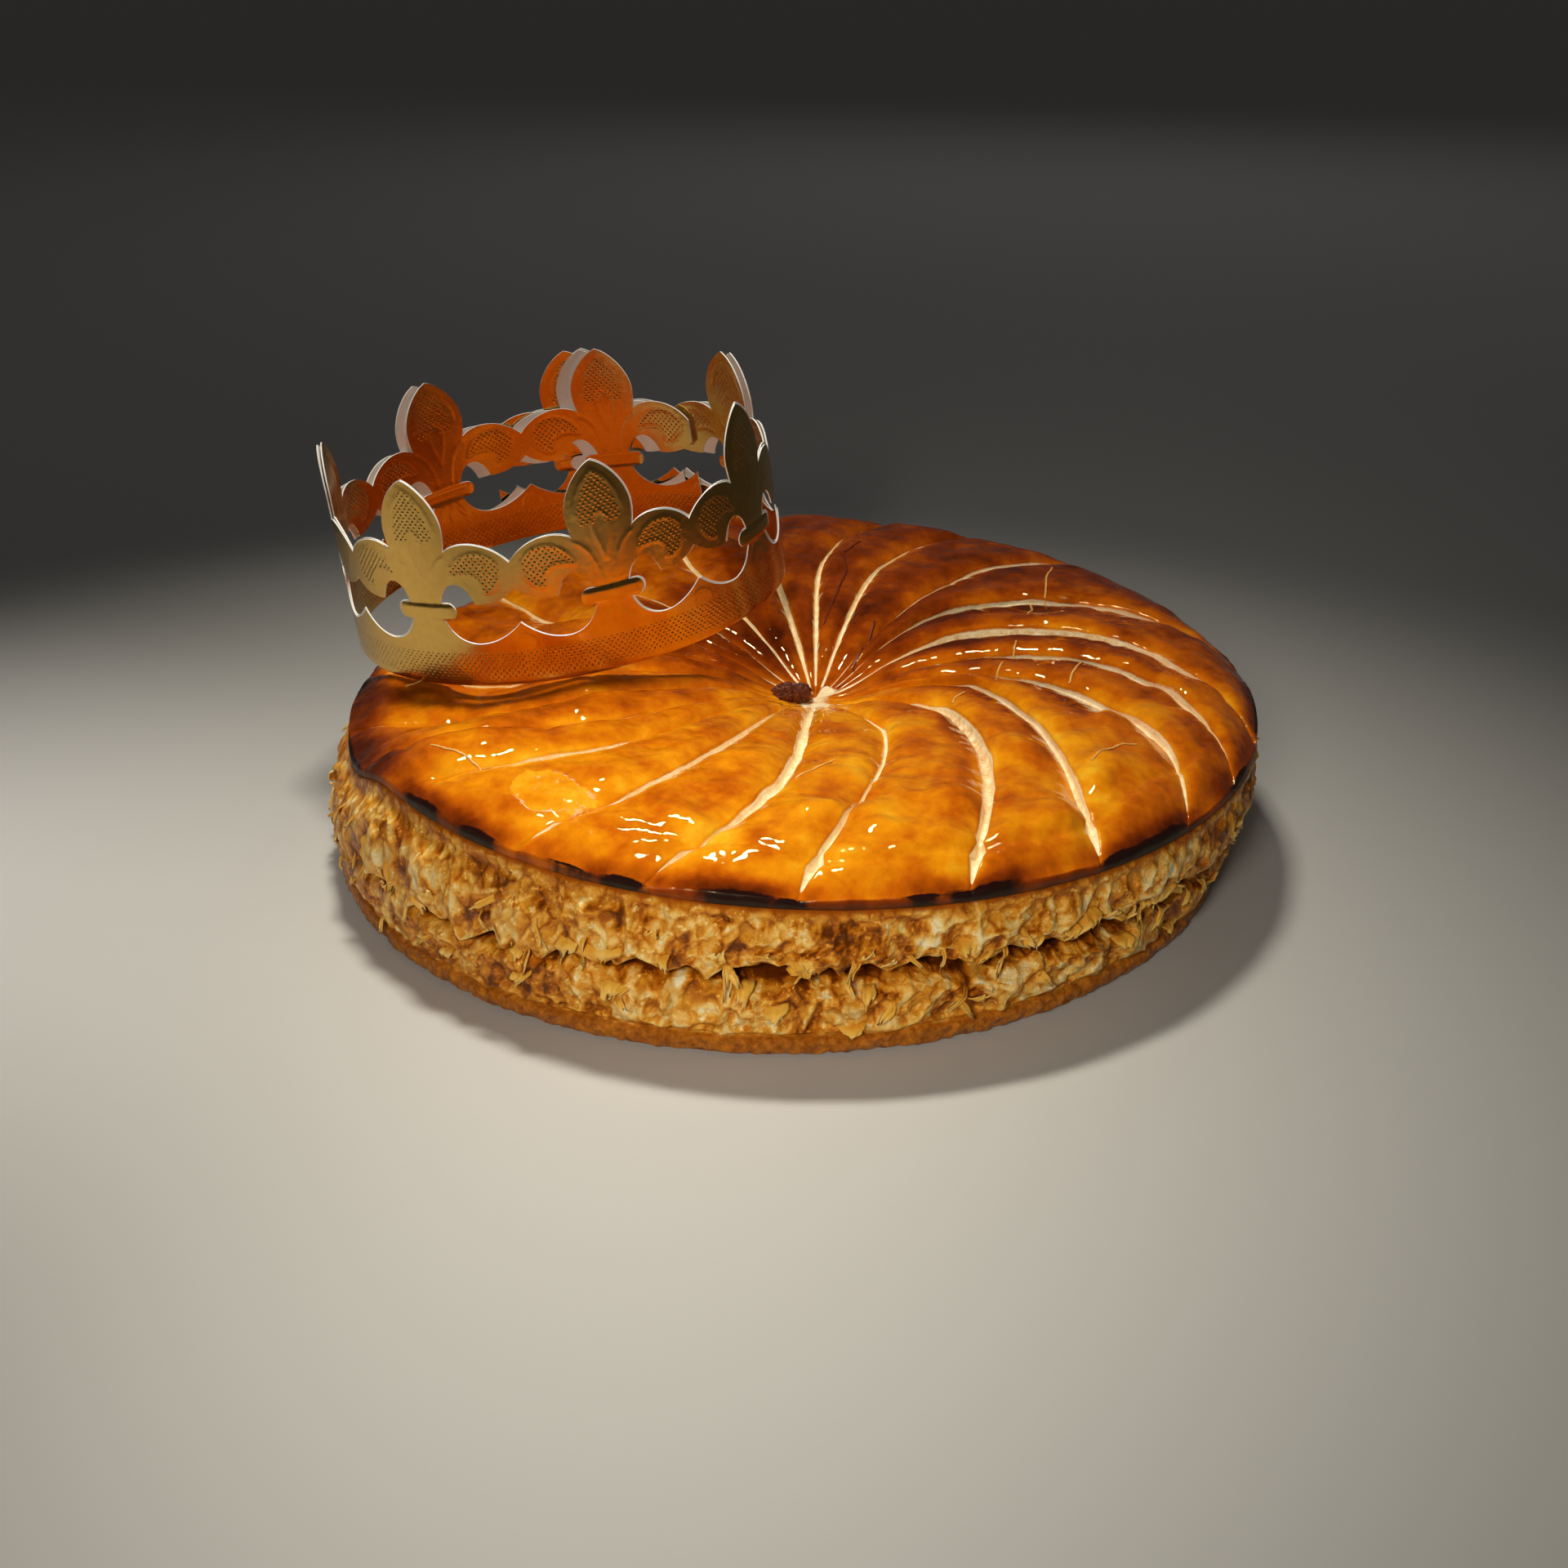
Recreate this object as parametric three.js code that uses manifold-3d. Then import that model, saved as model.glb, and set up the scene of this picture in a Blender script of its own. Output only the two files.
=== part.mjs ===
// Galette des rois: a round puff-pastry cake, cut in a spiral of slashes before baking,
// with a crumb of baked-out almond filling at its hub and a folded gold card crown resting on it.
// Millimetres, +Z up. The origin is the middle of the flat base, and the front of the cake faces -Y.
import * as THREE from 'three';
import { mergeVertices } from 'three/addons/utils/BufferGeometryUtils.js';
import Module from 'manifold-3d';

const wasm = await Module();
wasm.setup();

// Cake: foot, rim and hub
const footRadius = 123.5;
const footCentre = new THREE.Vector2(0, -1.8);
const rimRadius = 122.4;
const rimHeight = 43;
const rimCentre = new THREE.Vector2(6, -6);
const riseToLeft = 0.03; // the cake has risen more on its left side and at its back
const riseToBack = 0.015;
const leftBulge = 2.6;
const hub = new THREE.Vector2(10, -1);
const hubHeight = 36.5;
const crestHeight = 51;
const slumpDepth = 9.9; // its left flank, beneath the crown, has sunk again
const slumpAngles = [-152, -120, -72, -54]; // none, full, full, none
const slumpInner = 54; // radii between which the slump grows
const slumpOuter = 92;

// Slashes
const sweepMiddle = 80; // radii at which each slash's middle and inner angles are given
const sweepInner = 45;
const slashDepth = 2.4;
const stripRise = 1.8;

// Crumb of filling in the vent
const crumbCentre = new THREE.Vector3(3.4, -3.2, 37.2);
const crumbSize = new THREE.Vector3(5.6, 4.2, 3);
const clearance = 0.35;

// Crown
const crownCentre = new THREE.Vector3(-60.7, 35, 52.6);
const crownLean = { x: 2.1, y: -7.2 }; // degrees
const crownRadius = 59.8;
const crownOval = 0.036;
const crownOvalAt = 22;
const crownTaper = 0.03;
const cardThickness = 1.3; // two plies of card, folded together along the bottom edge
const layerGap = 0.35;
const fleurs = 7;
const firstFleurAt = -31.1;
const fleurDrift = 2.7;
const crownHeight = 56.6;

const degrees = Math.PI / 180;
const pitch = (2 * Math.PI * crownRadius) / fleurs;

function clamp(value, low, high) {
  return Math.min(high, Math.max(low, value));
}

function smoothstep(low, high, value) {
  const t = clamp((value - low) / (high - low), 0, 1);
  return t * t * (3 - 2 * t);
}

function mix(a, b, t) {
  return a + (b - a) * t;
}

// Value along a row of [position, value] stations, joined by straight lines
function along(stations, position) {
  for (let i = 1; i < stations.length; i++) {
    const [p0, v0] = stations[i - 1];
    const [p1, v1] = stations[i];
    if (position <= p1) return mix(v0, v1, clamp((position - p0) / (p1 - p0), 0, 1));
  }
  return stations[stations.length - 1][1];
}

function seededRandom(seed) {
  let state = seed;
  return () => {
    state = (state * 1664525 + 1013904223) % 4294967296;
    return state / 4294967296;
  };
}

// A closed mesh from rings of equal length, capped by a point or a flat fan at each end
function ringsToGeometry(rings, bottomPoint, topPoint) {
  const columns = rings[0].length;
  const positions = [bottomPoint, ...rings.flat(), topPoint].flatMap((p) => [p.x, p.y, p.z]);
  const indices = [];
  const at = (ring, column) => 1 + ring * columns + (column % columns);
  const top = 1 + rings.length * columns;
  for (let column = 0; column < columns; column++) {
    indices.push(0, at(0, column + 1), at(0, column));
    indices.push(top, at(rings.length - 1, column), at(rings.length - 1, column + 1));
    for (let ring = 1; ring < rings.length; ring++) {
      const a = at(ring - 1, column);
      const b = at(ring - 1, column + 1);
      const c = at(ring, column + 1);
      const d = at(ring, column);
      indices.push(a, b, c, a, c, d);
    }
  }
  const geometry = new THREE.BufferGeometry();
  geometry.setAttribute('position', new THREE.Float32BufferAttribute(positions, 3));
  geometry.setIndex(indices);
  return geometry;
}

function toSolid(geometry) {
  geometry.deleteAttribute('normal');
  geometry.deleteAttribute('uv');
  const merged = mergeVertices(geometry);
  const solid = new wasm.Mesh({
    numProp: 3,
    vertProperties: Float32Array.from(merged.attributes.position.array),
    triVerts: Uint32Array.from(merged.index.array),
  });
  return new wasm.Manifold(solid);
}

function toGeometry(solid) {
  const mesh = solid.getMesh();
  const geometry = new THREE.BufferGeometry();
  geometry.setAttribute('position', new THREE.BufferAttribute(mesh.vertProperties, 3));
  geometry.setIndex(new THREE.BufferAttribute(mesh.triVerts, 1));
  geometry.computeVertexNormals();
  return geometry;
}

// ---- Slashes: [angle at the rim, at the middle radius, at the inner radius, gape],
// with angles measured from the front round to the right ----

const slashes = [
  [-175, -172, -171, 2.2], [-160, -153, -151, 2.4], [-144, -134, -131, 2], [-128, -117, -113, 2.6],
  [-112, -100, -96, 2.2], [-96, -83, -79, 2.4], [-79, -66, -62, 2.4], [-64, -50, -46, 3],
  [-51, -39, -35, 2.6], [-32, -22.5, -20, 2.6], [-17, -5.5, -3, 3.4], [-1, 10.5, 24, 3.4],
  [17, 32.5, 51, 5.5], [33, 49, 74, 4], [47.5, 71, 81, 3.4], [60, 87, 97, 3.4],
  [73, 101.5, 117, 6], [94, 123.5, 135, 2], [131, 142, 144.5, 1.8], [149, 160.5, 163, 3],
  [163, 174.5, 177, 2.8],
].map(([rim, middle, inner, gape]) => ({ rim, middle, inner, gape }));

function slashAngle({ rim, middle, inner }, radius) {
  const inward = (from) => clamp((rimRadius - from) / (rimRadius - sweepInner), 0, 1);
  const half = inward(sweepMiddle);
  const bend = (middle - rim - half * (inner - rim)) / (half * half - half);
  const t = inward(radius);
  return rim + (inner - rim - bend) * t + bend * t * t;
}

// Each strip between two slashes has these columns: the slash's floor, its lip, three across
// the strip and the next slash's lip
const stripColumns = [0, 'lip', 0.27, 0.5, 0.73, 'nextLip'];

function columnsAt(radius) {
  const columns = [];
  slashes.forEach((slash, i) => {
    const next = slashes[(i + 1) % slashes.length];
    const start = slashAngle(slash, radius);
    const wrap = i === slashes.length - 1 ? 360 : 0;
    const span = slashAngle(next, radius) + wrap - start;
    const reach = (gape) => Math.min(0.5 * gape / (radius * degrees), 0.2 * span) / span;
    for (const column of stripColumns) {
      let across = column;
      if (column === 'lip') across = reach(slash.gape);
      if (column === 'nextLip') across = 1 - reach(next.gape);
      columns.push({ angle: start + across * span, across, floor: column === 0 });
    }
  });
  return columns;
}

// ---- Cake ----

// Mean height of the glazed top against distance from the hub
const topStations = [
  [0, hubHeight], [12, 38.5], [22, 42], [34, 45], [50, 47.6], [70, 49.8], [90, crestHeight],
  [105, 50.8], [112, 50.2], [117.5, 48.6], [121, 46.2],
];

// Side of the cake from the foot to the rim: [height, radius, crags]
const sideStations = [
  [0, footRadius - 2, 0],
  [0.8, footRadius - 0.5, 0],
  [4, footRadius, 0.2],
  [6.8, footRadius - 0.4, 0.2],
  [8, footRadius - 1.8, 0.2],
  [11, footRadius + 0.4, 0.8],
  [15, footRadius + 1.5, 1],
  [18.5, footRadius + 1, 1],
  [20.6, footRadius - 0.8, 0.7],
  [22.4, footRadius - 0.6, 0.7],
  [25.5, rimRadius + 2.2, 1],
  [30, rimRadius + 3, 1],
  [34.5, rimRadius + 2.6, 0.9],
  [38.4, rimRadius + 1, 0.6],
  [40.2, rimRadius - 0.7, 0.2],
  [rimHeight - 1, rimRadius - 0.1, 0],
  [rimHeight + 0.6, rimRadius, 0],
];

const topRadii = [121, 117.5, 112, 102, 90, 78, 66, 54, 42, 31, 20, 10];

// Crumpled vertical folds of the puffed layers
function crags(angle, height) {
  const a = angle * degrees;
  const slow = 0.8 * Math.sin(23 * a + 0.35 * height + 1.3 * Math.sin(3 * a));
  const middle = 0.7 * Math.sin(37 * a - 0.5 * height);
  const quick = 0.5 * Math.sin(55 * a + 0.9 * height);
  return slow + middle + quick;
}

// The seam between the puffed bands wanders and opens more in some places than in others
function seamShift(angle) {
  const a = angle * degrees;
  return 1.6 * Math.sin(2 * a + 0.6) + 0.9 * Math.sin(5 * a + 2) + 0.5 * Math.sin(11 * a);
}

function seamOpening(angle) {
  const a = angle * degrees;
  return 1.4 + Math.sin(3 * a - 0.4) + 0.6 * Math.sin(8 * a + 1);
}

function leftness(angle) {
  return Math.max(0, Math.cos((angle + 60) * degrees)) ** 8;
}

function slump(angle, radius) {
  const wrapped = ((angle + 540) % 360) - 180;
  const [backEnd, backFull, frontFull, frontEnd] = slumpAngles;
  const round = smoothstep(backEnd, backFull, wrapped) * (1 - smoothstep(frontFull, frontEnd, wrapped));
  return slumpDepth * round * smoothstep(slumpInner, slumpOuter, radius);
}

function risen(x, y, height) {
  const slope = riseToBack * (y - rimCentre.y) - riseToLeft * (x - rimCentre.x);
  return height + slope * smoothstep(4, rimHeight, height);
}

function bulgeAt(height) {
  return smoothstep(6, 26, height) * (1 - smoothstep(32, 41, height));
}

function sidePoint(angle, [height, radius, crag]) {
  const a = angle * degrees;
  const nearSeam = 1 - smoothstep(0, 4.5, Math.abs(height - 21.5));
  const shifted = height + seamShift(angle) * (1 - smoothstep(0, 13, Math.abs(height - 21.5)));
  const lift = smoothstep(0, rimHeight, height);
  const r = radius + leftBulge * bulgeAt(height) * leftness(angle) + crag * crags(angle, height)
    - nearSeam * seamOpening(angle);
  const x = mix(footCentre.x, rimCentre.x, lift) + r * Math.sin(a);
  const y = mix(footCentre.y, rimCentre.y, lift) - r * Math.cos(a);
  const sunk = slump(angle, rimRadius) * smoothstep(4, rimHeight, shifted);
  return new THREE.Vector3(x, y, risen(x, y, shifted) - sunk);
}

function topPoint(column, radius) {
  const a = column.angle * degrees;
  const outward = radius / rimRadius;
  const x = mix(hub.x, rimCentre.x, outward) + radius * Math.sin(a);
  const y = mix(hub.y, rimCentre.y, outward) - radius * Math.cos(a);
  const strength = smoothstep(2, 26, radius) * (1 - 0.75 * smoothstep(105, rimRadius, radius));
  const hump = 1 - Math.abs(2 * column.across - 1) ** 2.6;
  const relief = column.floor ? -slashDepth : -0.5 * stripRise + 1.5 * stripRise * hump;
  const blisters = 0.5 * Math.sin(0.09 * x + 1) * Math.sin(0.11 * y) * smoothstep(40, 90, radius);
  const height = along(topStations, radius) + blisters + strength * relief;
  return new THREE.Vector3(x, y, risen(x, y, height) - slump(column.angle, radius));
}

function cakeGeometry() {
  const rimColumns = columnsAt(rimRadius);
  const even = 360 / rimColumns.length;
  const sideRings = sideStations.map((station, level) => {
    const relax = 1 - smoothstep(7, sideStations.length - 2, level);
    return rimColumns.map((column, i) => {
      const evenAngle = rimColumns[0].angle + i * even;
      return sidePoint(mix(column.angle, evenAngle, relax), station);
    });
  });
  const topRings = topRadii.map((radius) => columnsAt(radius).map((c) => topPoint(c, radius)));
  const base = new THREE.Vector3(footCentre.x, footCentre.y, 0);
  const centre = new THREE.Vector3(hub.x, hub.y, risen(hub.x, hub.y, hubHeight));
  return ringsToGeometry([...sideRings, ...topRings], base, centre);
}

// A flake of dry pastry: a curled leaf lying against the side, its root inside the cake
const flakeRows = [
  [0, 0.55], [0.3, 1], [0.65, 0.8], [1, 0.3],
];

function onWall(angle, height, out) {
  const radius = along(sideStations, height);
  return sidePoint(angle, [height, radius + out, 0]);
}

function flakeGeometry({ angle, height, length, width, slant, curl }) {
  const thickness = 0.9;
  const root = -3.5;
  const rings = flakeRows.map(([t, share]) => {
    const out = 0.4 + curl * t * t;
    const rise = height + slant * t;
    const turned = angle + (t * length) / (footRadius * degrees);
    return [
      onWall(turned, rise + width * share / 2, out),
      onWall(turned, rise + width * share * 0.4, out + thickness),
      onWall(turned, rise - width * share * 0.4, out + thickness),
      onWall(turned, rise - width * share / 2, out),
      onWall(turned, rise - width * share * 0.3, root),
      onWall(turned, rise + width * share * 0.3, root),
    ];
  });
  const middle = (ring) => ring.reduce((sum, p) => sum.add(p), new THREE.Vector3()).divideScalar(6);
  return ringsToGeometry(rings, middle(rings[0]), middle(rings[3]));
}

function buildCake() {
  const random = seededRandom(7);
  const flakeCount = 16;
  let cake = toSolid(cakeGeometry());
  for (let i = 0; i < flakeCount; i++) {
    const flake = flakeGeometry({
      angle: (360 * (i + 0.6 * random())) / flakeCount,
      height: mix(14, 31, random()),
      length: mix(8, 15, random()),
      width: mix(3.5, 6, random()),
      slant: mix(-4, 4, random()),
      curl: mix(0.5, 2.2, random()),
    });
    cake = cake.add(toSolid(flake));
  }
  return cake.subtract(toSolid(crumbGeometry(clearance)));
}

// ---- Crumb of almond filling that has baked out of the vent ----

function crumbGeometry(grow) {
  const geometry = new THREE.IcosahedronGeometry(1, 3);
  const position = geometry.attributes.position;
  const p = new THREE.Vector3();
  for (let i = 0; i < position.count; i++) {
    p.fromBufferAttribute(position, i);
    const lumps = 1 + 0.1 * Math.sin(5 * p.x + 1) * Math.sin(6 * p.y) + 0.07 * Math.sin(9 * p.z + 4 * p.x);
    position.setXYZ(
      i,
      crumbCentre.x + p.x * (crumbSize.x * lumps + grow),
      crumbCentre.y + p.y * (crumbSize.y * lumps + grow),
      crumbCentre.z + p.z * (crumbSize.z * lumps + grow),
    );
  }
  return geometry;
}

// ---- Crown: a strip of eight fleurs-de-lis rolled into a ring of seven, its ends overlapping ----

// A point of the strip: how far along it, how far up it, and its distance from the ring's axis
function stripAngle(distance) {
  const even = firstFleurAt * degrees + distance / crownRadius;
  return even + fleurDrift * degrees * Math.cos(even + 75 * degrees);
}

function ringRadius(angle, height) {
  const oval = 1 - crownOval * Math.cos(2 * (angle - crownOvalAt * degrees));
  return crownRadius * oval - crownTaper * height;
}

function onRing(angle, radius, height) {
  return new THREE.Vector3(radius * Math.sin(angle), -radius * Math.cos(angle), height);
}

function stripGeometry() {
  const start = -3.5 * pitch;
  const end = 4.5 * pitch;
  const steps = 32;
  const rings = [];
  for (let step = 0; step <= steps; step++) {
    const distance = mix(start, end, step / steps);
    const angle = stripAngle(distance);
    const spiral = (cardThickness + layerGap) * (distance - start) / (fleurs * pitch);
    const corner = (side, height) =>
      onRing(angle, ringRadius(angle, height) + spiral + side * cardThickness / 2, height);
    rings.push([
      corner(-1, 0), corner(-1, crownHeight + 1), corner(1, crownHeight + 1), corner(1, 0),
    ]);
  }
  const middle = (ring) => ring.reduce((sum, p) => sum.add(p), new THREE.Vector3()).divideScalar(4);
  return ringsToGeometry(rings, middle(rings[0]), middle(rings[steps]));
}

// A cutter through the card: an outline in strip distance and height, carried out from the axis
function cutterGeometry(outline, inner, outer) {
  const faces = THREE.ShapeUtils.triangulateShape(outline, []);
  const count = outline.length;
  const positions = [];
  for (const radius of [inner, outer]) {
    for (const p of outline) positions.push(...onRing(stripAngle(p.x), radius, p.y).toArray());
  }
  const indices = [];
  for (const [a, b, c] of faces) {
    indices.push(a, c, b, a + count, b + count, c + count);
  }
  for (let i = 0; i < count; i++) {
    const next = (i + 1) % count;
    indices.push(i, next, next + count, i, next + count, i + count);
  }
  const geometry = new THREE.BufferGeometry();
  geometry.setAttribute('position', new THREE.Float32BufferAttribute(positions, 3));
  geometry.setIndex(indices);
  return geometry;
}

// Half of the edge from one fleur's tip down its petal and over its lobe to the valley
function crestEdge() {
  const path = new THREE.Path();
  path.moveTo(0, crownHeight);
  path.bezierCurveTo(4.4, 55.2, 9.5, 48.8, 9.5, 43.3);
  path.bezierCurveTo(9.5, 40.9, 9, 39, 8.7, 37.4);
  path.bezierCurveTo(13.3, 41, 22.2, 39.4, pitch / 2, 33.7);
  return path.getPoints(3);
}

// Half of the edge of the open slot, from the cusp of the lower band up to the cusp under the lobes
function slotEdge() {
  const path = new THREE.Path();
  path.moveTo(pitch / 2, 17.1);
  path.bezierCurveTo(19.2, 9.9, 8.4, 9.4, 5.1, 18.6);
  path.lineTo(6.8, 18.6);
  path.absarc(6.8, 20.9, 2.3, -Math.PI / 2, Math.PI / 2, false);
  path.lineTo(4.9, 23.2);
  path.bezierCurveTo(6.9, 30.5, 13, 30.5, 15.2, 22.9);
  path.bezierCurveTo(20.2, 22.5, 24.1, 24.1, pitch / 2, 26.6);
  return path.getPoints(3);
}

// Both halves of an outline about the middle of the gap between two fleurs, as one closed loop
function mirrored(half, gap) {
  const right = half.map((p) => new THREE.Vector2(p.x + gap * pitch, p.y));
  const left = half.map((p) => new THREE.Vector2((gap + 1) * pitch - p.x, p.y)).reverse();
  return [...right, ...left].filter((p, i, all) => i === 0 || p.distanceTo(all[i - 1]) > 0.01);
}

function closedLoop(points) {
  const first = points[0];
  const last = points[points.length - 1];
  const loop = first.distanceTo(last) < 0.01 ? points.slice(0, -1) : points;
  return THREE.ShapeUtils.isClockWise(loop) ? loop.slice().reverse() : loop;
}

function buildCrown() {
  let crown = toSolid(stripGeometry());
  const aboveCrown = crownHeight + 4;
  const insideCard = 0.8 * crownRadius;
  const outsideCard = 1.3 * crownRadius;
  const cut = (outline) => {
    const cutter = cutterGeometry(closedLoop(outline), insideCard, outsideCard);
    crown = crown.subtract(toSolid(cutter));
  };
  for (let gap = 0; gap < fleurs; gap++) {
    const crest = mirrored(crestEdge(), gap);
    crest.push(new THREE.Vector2((gap + 1) * pitch, aboveCrown));
    crest.push(new THREE.Vector2(gap * pitch, aboveCrown));
    cut(crest);
    cut(mirrored(slotEdge(), gap));
  }
  return crown.add(toSolid(glueGeometry()));
}

// Glue holds the overlapping ends together low on the band
function glueGeometry() {
  const overlapMiddle = 4 * pitch;
  const glueReach = 12;
  const glueTop = 8;
  const rings = [-1, -0.5, 0, 0.5, 1].map((share) => {
    const angle = stripAngle(overlapMiddle + share * glueReach);
    const corner = (out, height) => onRing(angle, ringRadius(angle, height) + out, height);
    const low = 2;
    const near = 0.3;
    const far = near + cardThickness + layerGap;
    return [corner(near, low), corner(near, glueTop), corner(far, glueTop), corner(far, low)];
  });
  const middle = (ring) => ring.reduce((sum, p) => sum.add(p), new THREE.Vector3()).divideScalar(4);
  return ringsToGeometry(rings, middle(rings[0]), middle(rings[4]));
}

// ---- Scene graph ----

const pastry = new THREE.MeshStandardMaterial({ color: 0xc8741c, roughness: 0.35 });
const filling = new THREE.MeshStandardMaterial({ color: 0x4a2410, roughness: 0.6 });
const goldCard = new THREE.MeshStandardMaterial({ color: 0xd9a441, roughness: 0.25, metalness: 1 });

function addPiece(group, name, geometry, material) {
  const mesh = new THREE.Mesh(geometry, material);
  mesh.name = name;
  group.add(mesh);
  return mesh;
}

const galette = new THREE.Group();
addPiece(galette, 'galette', toGeometry(buildCake()), pastry);
addPiece(galette, 'vent_filling', toGeometry(toSolid(crumbGeometry(0))), filling);

const crown = addPiece(galette, 'crown', toGeometry(buildCrown()), goldCard);
crown.position.copy(crownCentre);
crown.rotation.set(crownLean.x * degrees, crownLean.y * degrees, 0);

export default galette;
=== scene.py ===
import math

import bpy
import numpy as np
from mathutils import Matrix, Vector
from mathutils.bvhtree import BVHTree
from mathutils.geometry import delaunay_2d_cdt


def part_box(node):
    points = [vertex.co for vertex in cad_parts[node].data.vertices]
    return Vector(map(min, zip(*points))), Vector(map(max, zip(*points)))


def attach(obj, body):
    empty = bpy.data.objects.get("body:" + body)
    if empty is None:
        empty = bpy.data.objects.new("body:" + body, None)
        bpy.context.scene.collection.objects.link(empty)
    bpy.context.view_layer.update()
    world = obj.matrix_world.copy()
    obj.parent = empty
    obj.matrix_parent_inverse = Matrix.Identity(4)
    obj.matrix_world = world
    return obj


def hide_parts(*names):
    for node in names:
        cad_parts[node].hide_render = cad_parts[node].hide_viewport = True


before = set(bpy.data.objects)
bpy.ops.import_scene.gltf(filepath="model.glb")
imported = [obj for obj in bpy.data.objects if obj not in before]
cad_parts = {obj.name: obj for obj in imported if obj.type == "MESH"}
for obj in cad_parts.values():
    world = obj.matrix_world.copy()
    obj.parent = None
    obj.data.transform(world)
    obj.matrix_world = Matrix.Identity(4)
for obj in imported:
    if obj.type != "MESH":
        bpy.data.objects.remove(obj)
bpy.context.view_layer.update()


# ---- Table and light ----
# The cake stands on a plain pale table in a quiet studio, under one soft lamp above its left
# half. Weaker ones fill its front, its right side and its back, and a narrow one lights the
# table on its left, which the gold of the crown mirrors.

MM = 0.001
table_size = 24
eye = Vector((1.2, -469.4, 239.2)) * MM
looks_at = Vector((1.2, 15.6, 0)) * MM
camera_lens = 41.85
sensor_width = 36


def linear(red, green, blue):
    """A colour given as screen values from 0 to 255, as the light that it reflects."""
    light = []
    for value in (red, green, blue):
        v = value / 255
        light.append(v / 12.92 if v <= 0.04045 else ((v + 0.055) / 1.055) ** 2.4)
    return (*light, 1.0)


def set_inputs(node, **inputs):
    """Sets a node's inputs by name or by number: each to a value, or to the socket that feeds it."""
    names = [socket.name.replace(" ", "_") for socket in node.inputs]
    for key, value in inputs.items():
        socket = node.inputs[int(key[3:]) if key.startswith("in_") else names.index(key)]
        if isinstance(value, bpy.types.NodeSocket):
            node.id_data.links.new(value, socket)
        else:
            socket.default_value = value


def add_node(tree, kind, settings=None, **inputs):
    """A shader node with its settings and inputs."""
    node = tree.nodes.new(kind)
    for key, value in (settings or {}).items():
        setattr(node, key, value)
    set_inputs(node, **inputs)
    return node


def new_material(name):
    """A material with its node tree and the shader that every finish here starts from."""
    material = bpy.data.materials.new(name)
    material.use_nodes = True
    return material, material.node_tree, material.node_tree.nodes["Principled BSDF"]


table_material, tree, shader = new_material("pale_table")
set_inputs(shader, Base_Color=linear(190, 189, 187), Roughness=0.6)

bpy.ops.object.select_all(action="DESELECT")
bpy.ops.mesh.primitive_plane_add(size=table_size, location=(0, 0, 0))
table = bpy.context.object
table.name = "table"
table.data.materials.append(table_material)

bpy.ops.object.camera_add(location=eye, rotation=(looks_at - eye).to_track_quat("-Z", "Y").to_euler())
camera = bpy.context.object
camera.data.lens = camera_lens
camera.data.sensor_width = sensor_width
camera.data.clip_start = 0.01
bpy.context.scene.camera = camera


def add_lamp(name, place, target, size, power, colour, spread=180):
    """A soft square lamp at a place in metres, aimed at a target; spread is its cone in degrees."""
    aim = (Vector(place) - Vector(target)).to_track_quat("Z", "Y").to_euler()
    bpy.ops.object.light_add(type="AREA", location=place, rotation=aim)
    lamp = bpy.context.object
    lamp.name = name
    lamp.data.size = size
    lamp.data.energy = power
    lamp.data.color = colour
    lamp.data.spread = math.radians(spread)
    return lamp


key_lamp = add_lamp("key_lamp", (-0.07, 0.06, 0.64), (-0.05, -0.11, 0),
                    size=0.11, power=0.48, colour=(1.0, 0.94, 0.8), spread=66)
key_lamp.data.shape = "RECTANGLE"
key_lamp.data.size_y = 0.045
front_fill = add_lamp("front_fill", (-0.13, -0.64, 0.36), (0.0, -0.13, 0.02),
                      size=0.12, power=0.12, colour=(1.0, 0.94, 0.82), spread=38)
right_fill = add_lamp("right_fill", (1.2, -0.4, 0.8), (0, 0, 0.03),
                      size=0.9, power=0.14, colour=(1.0, 0.97, 0.93))
back_fill = add_lamp("back_fill", (0.3, 1.3, 0.9), (0, 0, 0.03),
                     size=0.9, power=0.8, colour=(1.0, 0.98, 0.95))
for fill in (front_fill, right_fill, back_fill):
    fill.visible_glossy = False
add_lamp("left_pool", (-0.3, -0.06, 0.5), (-0.29, -0.05, 0),
         size=0.06, power=0.1, colour=(1.0, 0.95, 0.88), spread=44)

world = bpy.data.worlds.new("quiet_room")
world.use_nodes = True
set_inputs(world.node_tree.nodes["Background"], Color=(1.0, 0.97, 0.93, 1), Strength=0.035)
bpy.context.scene.world = world
bpy.context.scene.view_settings.view_transform = "Standard"


# ---- Glazed lid ----
# The top sheet of puff pastry, cut before baking in a spiral of slashes that opened as it rose,
# and brushed with egg, which baked to a hard brown gloss. Its rim is the first part to burn.

foot_radius = 123.5
foot_centre = (0.0, -1.8)
rim_radius = 122.4
rim_height = 43
rim_centre = (6.0, -6.0)
rise_to_left = 0.03
rise_to_back = 0.015
hub = (10.0, -1.0)
sweep_middle = 80
sweep_inner = 45
strip_rise = 2.5
strip_lean = 2.2
lip_rise = 0.4
deepest_floor = 2.8
narrowest_slash = 0.25
crease_radius = 112.5
crease_depth = 0.75
crease_width = 1.3
peel_depth = 0.35
slump_depth = 9.9
slump_angles = (-152, -120, -72, -54)  # none, full, still full, none
slump_radii = (54, 92)  # between which it grows

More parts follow.
